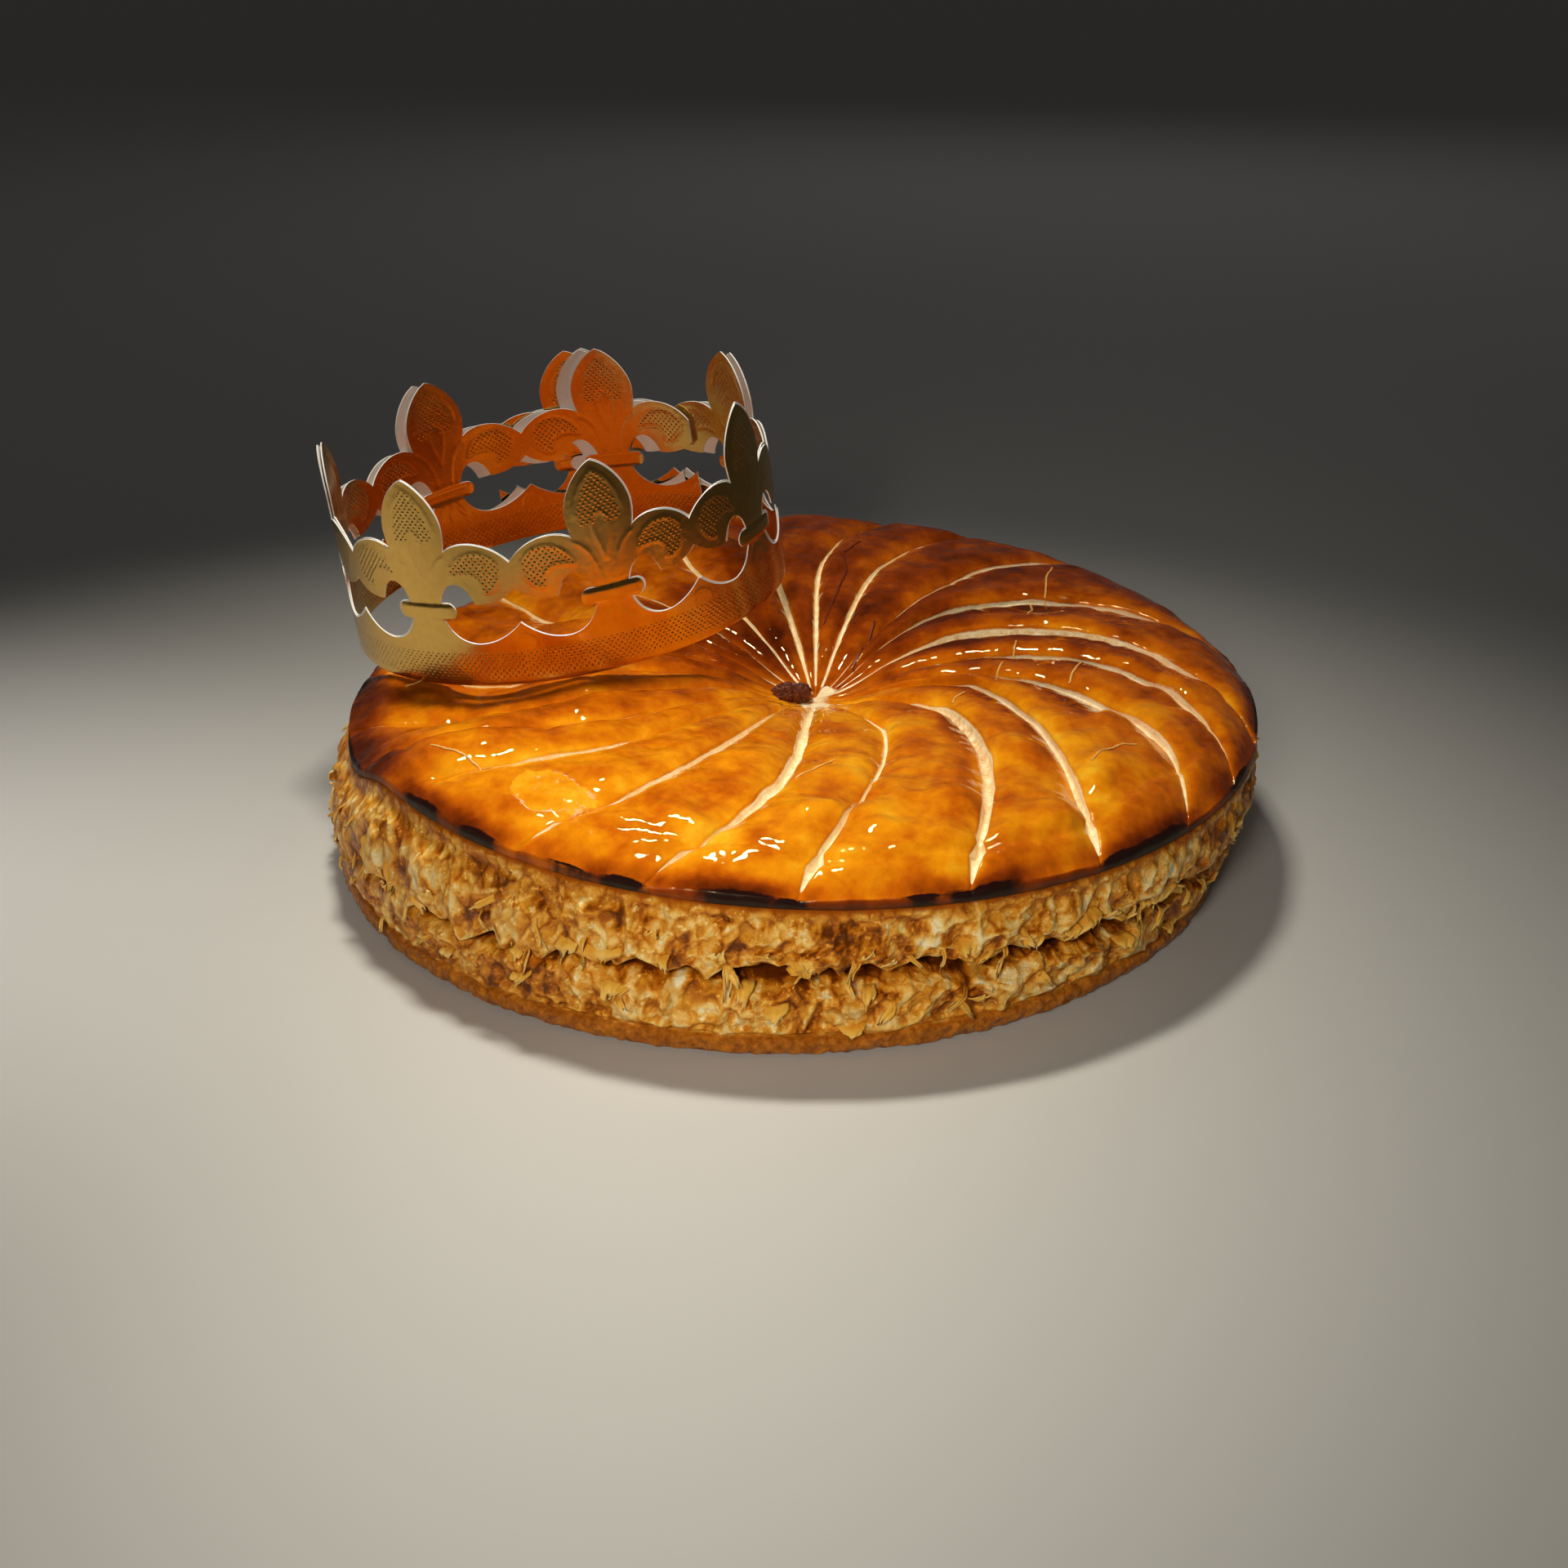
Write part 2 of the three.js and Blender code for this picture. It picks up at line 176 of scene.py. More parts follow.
# Each slash: its angle at the rim, at the middle and at the inner radius, then how far it gapes
# at the four last gape stations and in the wedge outside the crease
gape_stations = (12, 30, 60, 90, 108)
slashes = np.array([
    (-175, -172, -171, 1.6, 2.0, 1.6, 1.0, 1.4), (-160, -153, -151, 1.3, 1.7, 1.6, 1.2, 1.2),
    (-144, -134, -131, 1.3, 1.4, 1.3, 1.0, 1.0), (-128, -117, -113, 1.6, 2.2, 2.0, 1.2, 0.9),
    (-112, -100, -96, 1.0, 1.5, 1.8, 0.9, 0.9), (-96, -83, -79, 1.4, 1.8, 1.6, 0.8, 0.8),
    (-79, -66, -62, 1.1, 1.3, 1.4, 0.8, 0.7), (-64, -50, -46, 1.2, 2.0, 2.4, 0.9, 0.8),
    (-51, -39, -35, 0.9, 1.1, 2.0, 0.5, 0.5), (-32, -22.5, -20, 1.8, 2.6, 1.6, 0.4, 1.5),
    (-17, -5.5, -3, 2.2, 2.8, 3.8, 0.8, 1.8), (-1, 10.5, 24, 0.8, 0.9, 1.1, 1.8, 3.2),
    (17, 32.5, 51, 1.0, 2.8, 3.7, 2.6, 4.0), (33, 49, 74, 0.7, 0.8, 1.1, 2.3, 3.6),
    (47.5, 71, 81, 0.6, 0.6, 0.9, 2.1, 2.0), (60, 87, 97, 0.6, 0.6, 0.8, 1.7, 1.0),
    (73, 101.5, 117, 1.8, 3.9, 2.0, 1.0, 0.8), (94, 123.5, 135, 0.8, 0.8, 0.7, 0.7, 0.6),
    (131, 142, 144.5, 0.9, 0.8, 0.7, 0.7, 0.6), (149, 160.5, 163, 1.2, 1.5, 1.0, 0.8, 0.8),
    (163, 174.5, 177, 1.2, 1.2, 0.9, 0.8, 0.8),
])

# Columns of the mesh from the middle of a slash's floor to its lip, and between two slashes
lip_columns = 3
columns_in_strip = 20
columns_a_strip = 2 * lip_columns + columns_in_strip

# Radius and height of the baked top from the hub to its turned edge, and of its underside back
top_profile = [(0, 34.9), (7, 35.4), (13, 37.4), (22, 41.3), (34, 44.8), (50, 47.6), (70, 49.8),
               (90, 51), (105, 50.8), (112, 50.2), (117.5, 48.4), (120.6, 46.2), (122.0, 44.8),
               (122.7, 43.7)]
lid_underside = [(122.8, 43.0), (122.4, 42.5), (121.4, 42.0), (118.5, 41.8), (100, 44), (60, 43),
                 (20, 35), (0, 31.5)]
edge_radius = top_profile[-1][0]
turn_starts = 118  # radius from which the skin turns down, with finer rows

# Where the rim burnt: angle, half width and how badly
burns = [(-71, 9, 0.5), (-47, 3.8, 0.9), (-37.6, 3.2, 0.9), (-25.4, 2.8, 0.35), (-19.2, 3.2, 0.7),
         (-7, 4.2, 1.2), (-1.5, 2.2, 0.5), (12, 2.5, 0.5), (18.6, 4.4, 1.1), (36, 3.5, 0.9),
         (42.5, 5, 1.0), (62, 4, 0.6), (80, 6, 0.7), (97, 3, 0.5), (112, 6, 0.9), (131, 3, 0.6),
         (150, 7, 0.8), (178, 5, 0.8), (-92, 4, 0.8), (-118, 7, 1.0), (-134, 3, 0.6), (-152, 5, 0.8)]

# Blisters of the skin: radius and angle, then size and height in mm
blisters = [(102, -17, 4.2, 1.4), (105, -12.5, 3.4, 1.1), (97, 1, 5.0, 1.4), (96, 21, 6.5, 2.4),
            (104, 9, 3.0, 1.0), (92, -31, 6.0, 1.0), (72, -12, 6.5, 1.0), (84, 12, 4.5, 1.2),
            (108, 32, 5.0, 1.4), (78, 40, 6.0, 1.3), (100, 46, 6.0, 2.0), (88, 62, 5.0, 1.4),
            (98, 78, 5.0, 1.3), (104, 102, 5.5, 0.9), (70, 150, 6.0, 0.7), (98, -52, 6.0, 1.2),
            (86, -68, 6.0, 1.2), (100, -84, 6.0, 0.9), (91, 14, 4.0, 1.0), (113, 11, 3.0, 0.8),
            (103, 41, 4.0, 1.2), (96, 7, 5.0, 1.4), (107, -31, 3.5, 0.9), (108, -22, 3.5, 0.9),
            (94, 175, 6.0, 0.8), (96, -150, 6.0, 0.8), (100, -120, 6.0, 0.8)]

# The blister that has peeled open: radius and angle of its middle, then its half reach in each
peel_middle = (106.5, -33.5)
peel_reach = (7, 7.2)


def clamp01(value):
    return np.clip(value, 0, 1)


def smooth(low, high, value):
    """0 below low, 1 above high and a smooth ramp between."""
    t = clamp01((value - low) / (high - low))
    return t * t * (3 - 2 * t)


def plateau(value, start, full, still_full, end):
    """1 from full to still_full, 0 before start and after end, and smooth ramps between."""
    return smooth(start, full, value) * (1 - smooth(still_full, end, value))


def mix(a, b, t):
    return a + (b - a) * t


def rounded(stations, spread):
    """A row of (place, value) stations as a curve with its corners rounded off."""
    place, value = np.array(stations, float).T
    fine = np.arange(place[0] - 4 * spread, place[-1] + 4 * spread, 0.1)
    raw = np.interp(fine, place, value)
    kernel = np.exp(-0.5 * (np.arange(-30 * spread, 30 * spread + 1) / (10 * spread)) ** 2)
    soft = np.convolve(np.pad(raw, len(kernel) // 2, mode="edge"), kernel / kernel.sum(), "valid")
    return lambda x: np.interp(x, fine, soft[:len(fine)])


def scattered(cell):
    """A whole number for each cell of a grid, as good as random but the same in each run."""
    mixed = (cell[:, 0] * 73856093) ^ (cell[:, 1] * 19349663) ^ (cell[:, 2] * 83492791)
    return (mixed ^ (mixed >> 13)) * 1274126177


def lumps(points, size, seed):
    """Smooth random lumps about size apart, from -1 to 1."""
    scaled = np.asarray(points, float) / size + 31.7 * seed
    cell = np.floor(scaled).astype(np.int64)
    inside = scaled - cell
    inside = inside * inside * (3 - 2 * inside)
    height = np.zeros(len(scaled))
    for corner in np.ndindex(2, 2, 2):
        value = ((scattered(cell + corner) >> 8) & 0xFFFF) / 32767.5 - 1
        height += value * np.prod(np.where(corner, inside, 1 - inside), axis=1)
    return height


def rolled_sheet(name, columns, rows):
    """A flat grid to be shaped: the object, and each vertex's column and row number."""
    bpy.ops.object.select_all(action="DESELECT")
    bpy.ops.mesh.primitive_grid_add(x_subdivisions=columns, y_subdivisions=rows, size=1)
    sheet = bpy.context.object
    sheet.name = name
    place = np.empty(3 * len(sheet.data.vertices))
    sheet.data.vertices.foreach_get("co", place)
    column = np.rint((place[0::3] + 0.5) * columns).astype(int)
    row = np.rint((place[1::3] + 0.5) * rows).astype(int)
    return sheet, column, row


def add_masks(mesh, masks):
    """Stores a value at each point under each name, for the materials."""
    for key, values in masks.items():
        attribute = mesh.attributes.new(key, "FLOAT", "POINT")
        attribute.data.foreach_set("value", values.astype(np.float32))


def mend(piece, join_within=0, face_out=True):
    """Joins points that lie this close together, in metres, and turns all faces outwards."""
    bpy.context.view_layer.objects.active = piece
    bpy.ops.object.mode_set(mode="EDIT")
    bpy.ops.mesh.select_all(action="SELECT")
    if join_within:
        bpy.ops.mesh.remove_doubles(threshold=join_within)
    if face_out:
        bpy.ops.mesh.normals_make_consistent(inside=False)
    bpy.ops.object.mode_set(mode="OBJECT")


def shape_sheet(sheet, points, masks):
    """Gives a sheet its final points in mm and its masks, then joins its seam and its poles."""
    sheet.data.vertices.foreach_set("co", (np.asarray(points) * MM).ravel())
    add_masks(sheet.data, masks)
    mend(sheet, join_within=2e-6)
    bpy.ops.object.shade_smooth()


def place_on_lid(radius, angle):
    """Flat x and y in mm of a place on the lid: the rings' middle moves from the hub to the rim's."""
    turned = np.radians(angle)
    outward = clamp01(radius / rim_radius)
    return (mix(hub[0], rim_centre[0], outward) + radius * np.sin(turned),
            mix(hub[1], rim_centre[1], outward) - radius * np.cos(turned))


def wrapped(angle):
    """The same direction as an angle from -180 to 180 degrees."""
    return (angle + 540) % 360 - 180


def slump(angle, radius):
    """How far the left flank has sunk again beneath the crown."""
    return slump_depth * plateau(wrapped(angle), *slump_angles) * smooth(*slump_radii, radius)


def risen(x, y, height):
    """The cake has risen more on its left and at its back."""
    slope = rise_to_back * (y - rim_centre[1]) - rise_to_left * (x - rim_centre[0])
    return height + slope * smooth(4, rim_height, height)


def slash_angle(slash, radius):
    """Angle of a slash at a radius: it runs back from the rim and bends towards the hub."""
    rim, middle, inner = slash[..., 0], slash[..., 1], slash[..., 2]
    half = (rim_radius - sweep_middle) / (rim_radius - sweep_inner)
    bend = (middle - rim - half * (inner - rim)) / (half * half - half)
    t = clamp01((rim_radius - radius) / (rim_radius - sweep_inner))
    return rim + (inner - rim - bend) * t + bend * t * t


def gape(slash, radius, jitter):
    """How wide a slash stands open, in mm, with ragged lips."""
    widths = [0.6 * slash[:, 3], *slash[:, 3:7].T]
    inner = np.where(radius < gape_stations[0], widths[0] * smooth(4, 9, radius), widths[-1])
    for low, high, start, end in zip(gape_stations, gape_stations[1:], widths, widths[1:]):
        inside = (radius >= low) & (radius < high)
        inner = np.where(inside, mix(start, end, smooth(low, high, radius)), inner)
    pinch = 1 - 0.6 * np.exp(-((radius - crease_radius) / 1.8) ** 2)
    wedge = slash[:, 7] * smooth(crease_radius - 3, crease_radius + 2, radius)
    wedge = wedge * clamp01((rim_radius - radius) / (rim_radius - crease_radius - 1.5))
    width = np.where(radius < crease_radius, np.maximum(inner * pinch, wedge), wedge)
    width = width * (1 - smooth(rim_radius - 3, rim_radius, radius))
    return np.maximum(narrowest_slash, width * (1 + 0.25 * jitter))


# Rows of the mesh run from the hub over the edge and back beneath, columns from slash to slash
top_rows = np.concatenate([[0], np.linspace(1.5, turn_starts, 145),
                           np.linspace(turn_starts + 0.5, edge_radius, 12)])
under_radius, under_height = np.array(lid_underside, float).T
row_radius = np.concatenate([top_rows, under_radius])
row_count = len(row_radius) - 1
top_height = rounded(top_profile, 1.6)
lid, column, row = rolled_sheet("glazed_lid", len(slashes) * columns_a_strip, row_count)
radius = row_radius[row]
under = row >= len(top_rows)
strip = (column // columns_a_strip) % len(slashes)
step = column % columns_a_strip
this_slash = slashes[strip]
next_slash = slashes[(strip + 1) % len(slashes)]
turn_radius = np.minimum(radius, rim_radius)
start_angle = slash_angle(this_slash, turn_radius)
end_angle = slash_angle(next_slash, turn_radius) + np.where(strip == len(slashes) - 1, 360, 0)
span = end_angle - start_angle

# How far each column lies across its strip, from the middle of one slash to that of the next:
# the lips are ragged, but the columns further in only follow how far the slashes open
along_slash = np.stack([turn_radius, 7.0 * strip, 0 * strip], axis=1)
along_next = np.stack([turn_radius, 7.0 * ((strip + 1) % len(slashes)), 0 * strip], axis=1)
arc = np.radians(span) * np.maximum(turn_radius, 1)
ragged = [0.8 * lumps(p, 6, 3) + 0.2 * lumps(p, 2.6, 4) for p in (along_slash, along_next)]
widest = mix(0.17, 0.3, smooth(6, 30, turn_radius))
near_lip = np.minimum(0.5 * gape(this_slash, turn_radius, ragged[0]) / arc, widest)
far_lip = np.minimum(0.5 * gape(next_slash, turn_radius, ragged[1]) / arc, widest)
near_reach = np.minimum(0.5 * gape(this_slash, turn_radius, 0) / arc, widest)
far_reach = np.minimum(0.5 * gape(next_slash, turn_radius, 0) / arc, widest)
lip_steps = np.array([0, 0.55, 0.9, 1.06])
from_next = columns_a_strip - step
inner_share = (step - lip_columns) / columns_in_strip
inner_share = inner_share - 0.5 * np.sin(2 * np.pi * inner_share) / (2 * np.pi)
across = near_reach + (1 - near_reach - far_reach) * inner_share
across += (near_lip - near_reach) * (1 - smooth(0, 0.2, inner_share))
across -= (far_lip - far_reach) * (1 - smooth(0, 0.2, 1 - inner_share))
near_side = step <= lip_columns
far_side = from_next <= lip_columns
across = np.where(near_side, near_lip * lip_steps[np.clip(step, 0, lip_columns)], across)
across = np.where(far_side, 1 - far_lip * lip_steps[np.clip(from_next, 0, lip_columns)], across)
angle = start_angle + across * span
lip_step = np.minimum(np.minimum(step, from_next), lip_columns)
in_slash = lip_step < lip_columns
x, y = place_on_lid(radius, angle)
flat_place = np.stack([x, y, 0 * x], axis=1)

# Shingling: on the right the strips lean over one another, near edge up and far edge tucked in
width = clamp01((across - near_reach) / np.maximum(1 - near_reach - far_reach, 0.1))
shingled = plateau(angle, 10, 45, 128, 150)
strength = smooth(3, 30, radius) * (1 - 0.7 * smooth(110, rim_radius, radius))
hump = 1 - np.abs(2 * width - 1) ** 4
lean = shingled * (0.5 - width) * strip_lean * plateau(radius, 20, 60, 100, 116)
gap_here = np.where(step < from_next, near_lip, far_lip) * arc * 2
floor_depth = -np.minimum(deepest_floor, 0.5 + 0.75 * gap_here)
floor_share = np.array([1, 0.92, 0.5, 0])[lip_step]
from_lip = np.minimum(width, 1 - width) * arc
lip_ridge = lip_rise * np.exp(-(from_lip / 0.9) ** 2) * smooth(0.8, 2.0, gap_here)
relief = -0.9 + strip_rise * hump + lean + lip_ridge
relief = np.where(in_slash, mix(relief, floor_depth - 0.4, floor_share), relief)
height = top_height(radius) + strength * relief

# Swellings and blisters of the glazed skin, and the dented crease round it inside the rim
outer = smooth(25, 70, radius)
height += outer * (0.9 * lumps(flat_place, 24, 5) + 0.55 * lumps(flat_place, 11, 6))
wrinkled = 0.45 * np.abs(lumps(flat_place, 6, 7)) + 0.16 * lumps(flat_place, 3, 10)
height += outer * wrinkled * (1 - in_slash)
for blister_radius, blister_angle, size, rise in blisters:
    aside = np.radians(angle - blister_angle) * blister_radius
    away = np.hypot(radius - blister_radius, aside * 0.8) + 0.8 * lumps(flat_place, 5, 24)
    height += rise * np.exp(-(np.maximum(away, 0) / size) ** 3.5) * (1 - in_slash)
peel = ((radius - peel_middle[0]) / peel_reach[0]) ** 2
peel = peel + ((angle - peel_middle[1]) / peel_reach[1]) ** 2 + 0.6 * lumps(flat_place, 6, 25)
height -= peel_depth * (1 - smooth(0.7, 0.95, peel))
crease_at = crease_radius + 2 * np.sin(np.radians(5 * angle))
crease_at = crease_at + 1.2 * np.sin(np.radians(13 * angle + 40))
crease = np.exp(-((radius - crease_at) / crease_width) ** 2)
height -= crease_depth * crease * (1 - smooth(60, 80, np.abs(angle)))

underside = np.interp(row, np.arange(len(top_rows), row_count + 1), under_height)
height = np.where(under, underside, height)
z = risen(x, y, height) - slump(angle, np.minimum(radius, rim_radius))
z = np.where(under & (radius < 119), z - 0.5, z)

# Each burnt patch is a thin lens on the turn of the rim, measured along the skin from its edge
edge_length = np.cumsum(np.hypot(np.diff(top_rows), np.diff(top_height(top_rows))))
row_from_edge = [edge_length[-1:], edge_length[-1] - edge_length, np.zeros(len(under_radius))]
from_edge = np.concatenate(row_from_edge)[row] + 0.25 * lumps(flat_place, 5, 9)
burnt = np.full(len(radius), -1.0)
scorched = np.zeros(len(radius))
for centre, half_width, badly in burns:
    away = np.abs(wrapped(angle - centre)) / half_width
    lens = np.hypot(away, (from_edge - 0.3) / (1.3 * badly))
    burnt = np.maximum(burnt, 1 - lens)
    halo = (1 - smooth(0.8, 2.0, away)) * (1 - smooth(1.5, 6, from_edge))
    scorched = np.maximum(scorched, badly * halo)
left_scorch = plateau(angle, -104, -80, -60, -50) * (1 - smooth(5, 15, from_edge))
scorched = np.maximum(scorched, 0.9 * left_scorch)

# Bare crumb: in the slashes, more on their floors than at their lips, and round the hub
cut_edge = 1 - smooth(0.1, 0.7, np.minimum(across - near_lip, 1 - far_lip - across) * arc)
cut = np.where(in_slash, 1.0, 0.3 * cut_edge * (1 - smooth(1.6, 2.4, gap_here)))
cut = cut * mix(0.62, 1, smooth(0.7, 1.8, gap_here)) * smooth(0.25, 0.7, gap_here)
cut = cut * (row < len(top_rows) - 2)
hub_crumb = (1 - smooth(5, 11, radius)) * smooth(-1, -0.2, lumps(flat_place, 4, 23))
cut = np.maximum(cut, hub_crumb * plateau(angle, -60, -20, 150, 170))
# Painted shade: slash floors under a leaning strip get a darker crumb
shaded_floor = floor_share * in_slash * smooth(1.4, 3.0, gap_here) * shingled

# How far each place has browned, with painted shade added to it, and the rim's turned edge, which no
# egg reached
dull = smooth(len(top_rows) - 3, len(top_rows), row)
# Far side of each shingled strip darker: partly deeper baking, partly painted shade where it tips
# away from the light
tucked_bake_and_shade = shingled * smooth(0.3, 0.95, width) * smooth(20, 50, radius)
# Painted shade on the left flank, offsetting the light of the front lamp
left_flank = plateau(angle, -150, -110, -70, -28)
# Painted shadow of the crown: the strips between the crown and the hub are darkened
painted_crown_shadow = plateau(angle, -168, -150, -98, -80) * (1 - smooth(48, 66, radius))
# Darker towards the back and paler at the front: partly deeper browning, partly painted shade where
# the light falls off towards the back
back_browning_and_shade = smooth(50, 140, angle) + 1 - smooth(-172, -112, angle)
at_front = 1 - smooth(0, 70, np.abs(angle))
browned_and_shaded = 0.4 * tucked_bake_and_shade * (1 - 0.75 * smooth(72, 94, radius)) + 0.1 * left_flank + 0.26 * painted_crown_shadow
browned_and_shaded += 0.34 * back_browning_and_shade + 0.15 * smooth(114, 121.5, radius) + 0.35 * scorched
browned_and_shaded += 0.2 * hump - 0.2 * (1 - smooth(6, 22, radius)) - 0.12 * at_front
edge_scorch = plateau(angle, -12, 2, 48, 60)
browned_and_shaded = np.maximum(browned_and_shaded, dull * (0.44 + 0.3 * edge_scorch))
shape_sheet(lid, np.stack([x, y, z], axis=1), {
    "cut": cut,
    "slash_floor": shaded_floor * (radius < crease_radius - 4),
    "burnt": burnt,
    "peel": np.minimum(peel, 3),
    "browned_and_shaded": clamp01(browned_and_shaded),
    "dull": dull,
    "across_strip": width * arc / 1000,
    "along_strip": radius / 1000 + 0.4 * strip,
})


def place_on_piece(tree):
    return add_node(tree, "ShaderNodeTexCoord").outputs["Object"]


def noise(tree, vector, scale, detail, **inputs):
    """Soft random mottling of about 1/scale metres."""
    node = add_node(tree, "ShaderNodeTexNoise", Vector=vector, Scale=scale, Detail=detail, **inputs)
    return node.outputs["Fac"]


def mask_between(tree, value, none_at, full_at):
    """A mask that grows from 0 to 1 while a value goes from one number to another, up or down."""
    rising = {"From_Min": none_at, "From_Max": full_at}
    falling = {"From_Min": full_at, "From_Max": none_at, "To_Min": 1.0, "To_Max": 0.0}
    ends = rising if full_at > none_at else falling
    return add_node(tree, "ShaderNodeMapRange", Value=value, **ends).outputs["Result"]


def mask_of(tree, key):
    """The mask that a mesh carries under this name."""
    return add_node(tree, "ShaderNodeAttribute", {"attribute_name": key}).outputs["Fac"]


def math_node(tree, operation, a, b=0.0, c=0.0, clamp=False):
    settings = {"operation": operation, "use_clamp": clamp}
    return add_node(tree, "ShaderNodeMath", settings, in_0=a, in_1=b, in_2=c).outputs[0]


def total(tree, start, *shares, clamp=False):
    """A start value plus each (value, weight) share, at the end clamped to 0 to 1 if asked."""
    for number, (value, weight) in enumerate(shares, 1):
        at_end = number == len(shares)
        start = math_node(tree, "MULTIPLY_ADD", value, weight, start, clamp and at_end)
    return start


# Mottling of baked dough, used by every baked finish: broad patches, fine grain and dark pores
mottle = bpy.data.node_groups.new("baked_mottle", "ShaderNodeTree")
for key in ("Patch Scale", "Grain Scale", "Pore Scale"):
    mottle.interface.new_socket(name=key, in_out="INPUT", socket_type="NodeSocketFloat")
for key in ("Patches", "Grain", "Pores"):
    mottle.interface.new_socket(name=key, in_out="OUTPUT", socket_type="NodeSocketFloat")
group_in = mottle.nodes.new("NodeGroupInput")
group_out = mottle.nodes.new("NodeGroupOutput")
where = place_on_piece(mottle)
patches = noise(mottle, where, group_in.outputs["Patch Scale"], 5.0, Roughness=0.6)
grain = noise(mottle, where, group_in.outputs["Grain Scale"], 4.0, Roughness=0.65)
pores = add_node(mottle, "ShaderNodeTexVoronoi", Vector=where, Scale=group_in.outputs["Pore Scale"])
pores = mask_between(mottle, pores.outputs["Distance"], 0.3, 0.12)
set_inputs(group_out, Patches=patches, Grain=grain, Pores=pores)


def add_mottle(tree, patch, grain, pore):
    """Places the mottling group in a material, with its own scales, and gives its outputs."""
    scales = {"Patch_Scale": patch, "Grain_Scale": grain, "Pore_Scale": pore}
    return add_node(tree, "ShaderNodeGroup", {"node_tree": mottle}, **scales).outputs


def colour_ramp(tree, value, stops):
    """Colours along a value, from (place, colour) stops."""
    node = add_node(tree, "ShaderNodeValToRGB", Fac=value)
    ramp = node.color_ramp
    while len(ramp.elements) < len(stops):
        ramp.elements.new(0.5)
    for element, (place, colour) in zip(ramp.elements, stops):
        element.position = place
        element.color = colour
    return node.outputs["Color"]


def mix_colours(tree, mask, under_colour, over_colour):
    settings = {"data_type": "RGBA"}
    node = add_node(tree, "ShaderNodeMix", settings, in_0=mask, in_6=under_colour, in_7=over_colour)
    return node.outputs[2]


def bump(tree, height, strength, distance):
    """Fine relief of this height map, distance in metres."""
    node = add_node(tree, "ShaderNodeBump", Height=height, Strength=strength, Distance=distance)
    return node.outputs["Normal"]


glaze, tree, shader = new_material("egg_glaze")
spots = add_mottle(tree, 70, 420, 900)
patches, grain, pores = spots["Patches"], spots["Grain"], spots["Pores"]
# The browning mask also carries painted shade: the crown's shadow, tucked strip sides, the left flank
# and the back
bake_and_shade = mask_of(tree, "browned_and_shaded")
along_brush = math_node(tree, "MULTIPLY", mask_of(tree, "along_strip"), 0.16)
brushed = add_node(tree, "ShaderNodeCombineXYZ", X=mask_of(tree, "across_strip"), Y=along_brush)
streaks = noise(tree, brushed.outputs[0], 170.0, 1.5)

# The skin: darker where it is browned and where shade is painted, mottled less there, paler under the
# peeled blister
torn_border = total(tree, mask_of(tree, "peel"), (grain, 0.7), (patches, 2.2))
peeled = mask_between(tree, torn_border, 2.22, 2.18)
unevenness = total(tree, 1.4, (bake_and_shade, -0.9))
browning_and_shade = math_node(tree, "MULTIPLY_ADD", total(tree, -0.5, (patches, 1.0)), unevenness, 0.08)
browning_and_shade = total(tree, browning_and_shade, (streaks, 0.26), (bake_and_shade, 1.0), (grain, 0.14), (peeled, -0.18))
crust = colour_ramp(tree, browning_and_shade, [
    (0.0, linear(250, 186, 38)),
    (0.26, linear(234, 146, 12)),
    (0.52, linear(202, 100, 6)),
    (0.78, linear(142, 56, 4)),
    (1.0, linear(84, 28, 3)),
])

# The bare crumb of the slashes, with painted shade on the floors that lie in the shade of a strip
pored = math_node(tree, "MAXIMUM", total(tree, -0.95, (grain, 2.6), clamp=True), pores)
crumb_colour = mix_colours(tree, pored, linear(255, 242, 206), linear(242, 198, 126))
floor = mask_of(tree, "slash_floor")
painted_floor_shade = total(tree, -1.2, (grain, 2.4), (floor, 0.5), clamp=True)
painted_floor_shade = math_node(tree, "MULTIPLY", painted_floor_shade, floor)
crumb_colour = mix_colours(tree, painted_floor_shade, crumb_colour, linear(176, 116, 42))

# Crumb shows in the slashes, along parts of the blister's torn border and as flecks within it
opened = mask_between(tree, total(tree, mask_of(tree, "cut"), (grain, 0.5)), 0.55, 0.8)
from_border = math_node(tree, "ABSOLUTE", math_node(tree, "SUBTRACT", torn_border, 2.23))
broken = total(tree, -3.7, (patches, 8.0), clamp=True)
border = math_node(tree, "MULTIPLY", mask_between(tree, from_border, 0.08, 0.02), broken)
flecks = math_node(tree, "MULTIPLY", total(tree, -5.5, (grain, 9.0), clamp=True), peeled)
opened = math_node(tree, "MAXIMUM", math_node(tree, "MAXIMUM", opened, border), flecks)
crust = mix_colours(tree, opened, crust, crumb_colour)

# The burnt rim, which the crumb of the slashes breaks
charred = mask_between(tree, total(tree, mask_of(tree, "burnt"), (grain, 0.7)), 0.28, 0.62)
charred = math_node(tree, "MULTIPLY", charred, total(tree, 1.0, (opened, -0.75)))
crust = mix_colours(tree, charred, crust, linear(34, 12, 12))

# The egg's gloss over soft waves and creases
where = place_on_piece(tree)
waves = noise(tree, where, 60.0, 1.0)
creases = noise(tree, where, 170.0, 1.0, Distortion=0.3)
wrinkles = total(tree, waves, (creases, 0.7), (grain, 0.04))
roughness = total(tree, 0.008, (patches, 0.04), (mask_of(tree, "dull"), 0.6), (opened, 0.45))
set_inputs(shader, Base_Color=crust, Roughness=roughness, Specular_Tint=(1.0, 0.96, 0.55, 1),
           Normal=bump(tree, wrinkles, 1.0, 0.0012))
lid.data.materials.append(glaze)

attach(lid, "root")
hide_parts("galette")


# ---- Torn skin ----
# Where a strip buckled as it rose, its dry skin split across: pale edges as thin as paper lift
# from the lid, and near the back a few splits have scorched dark.

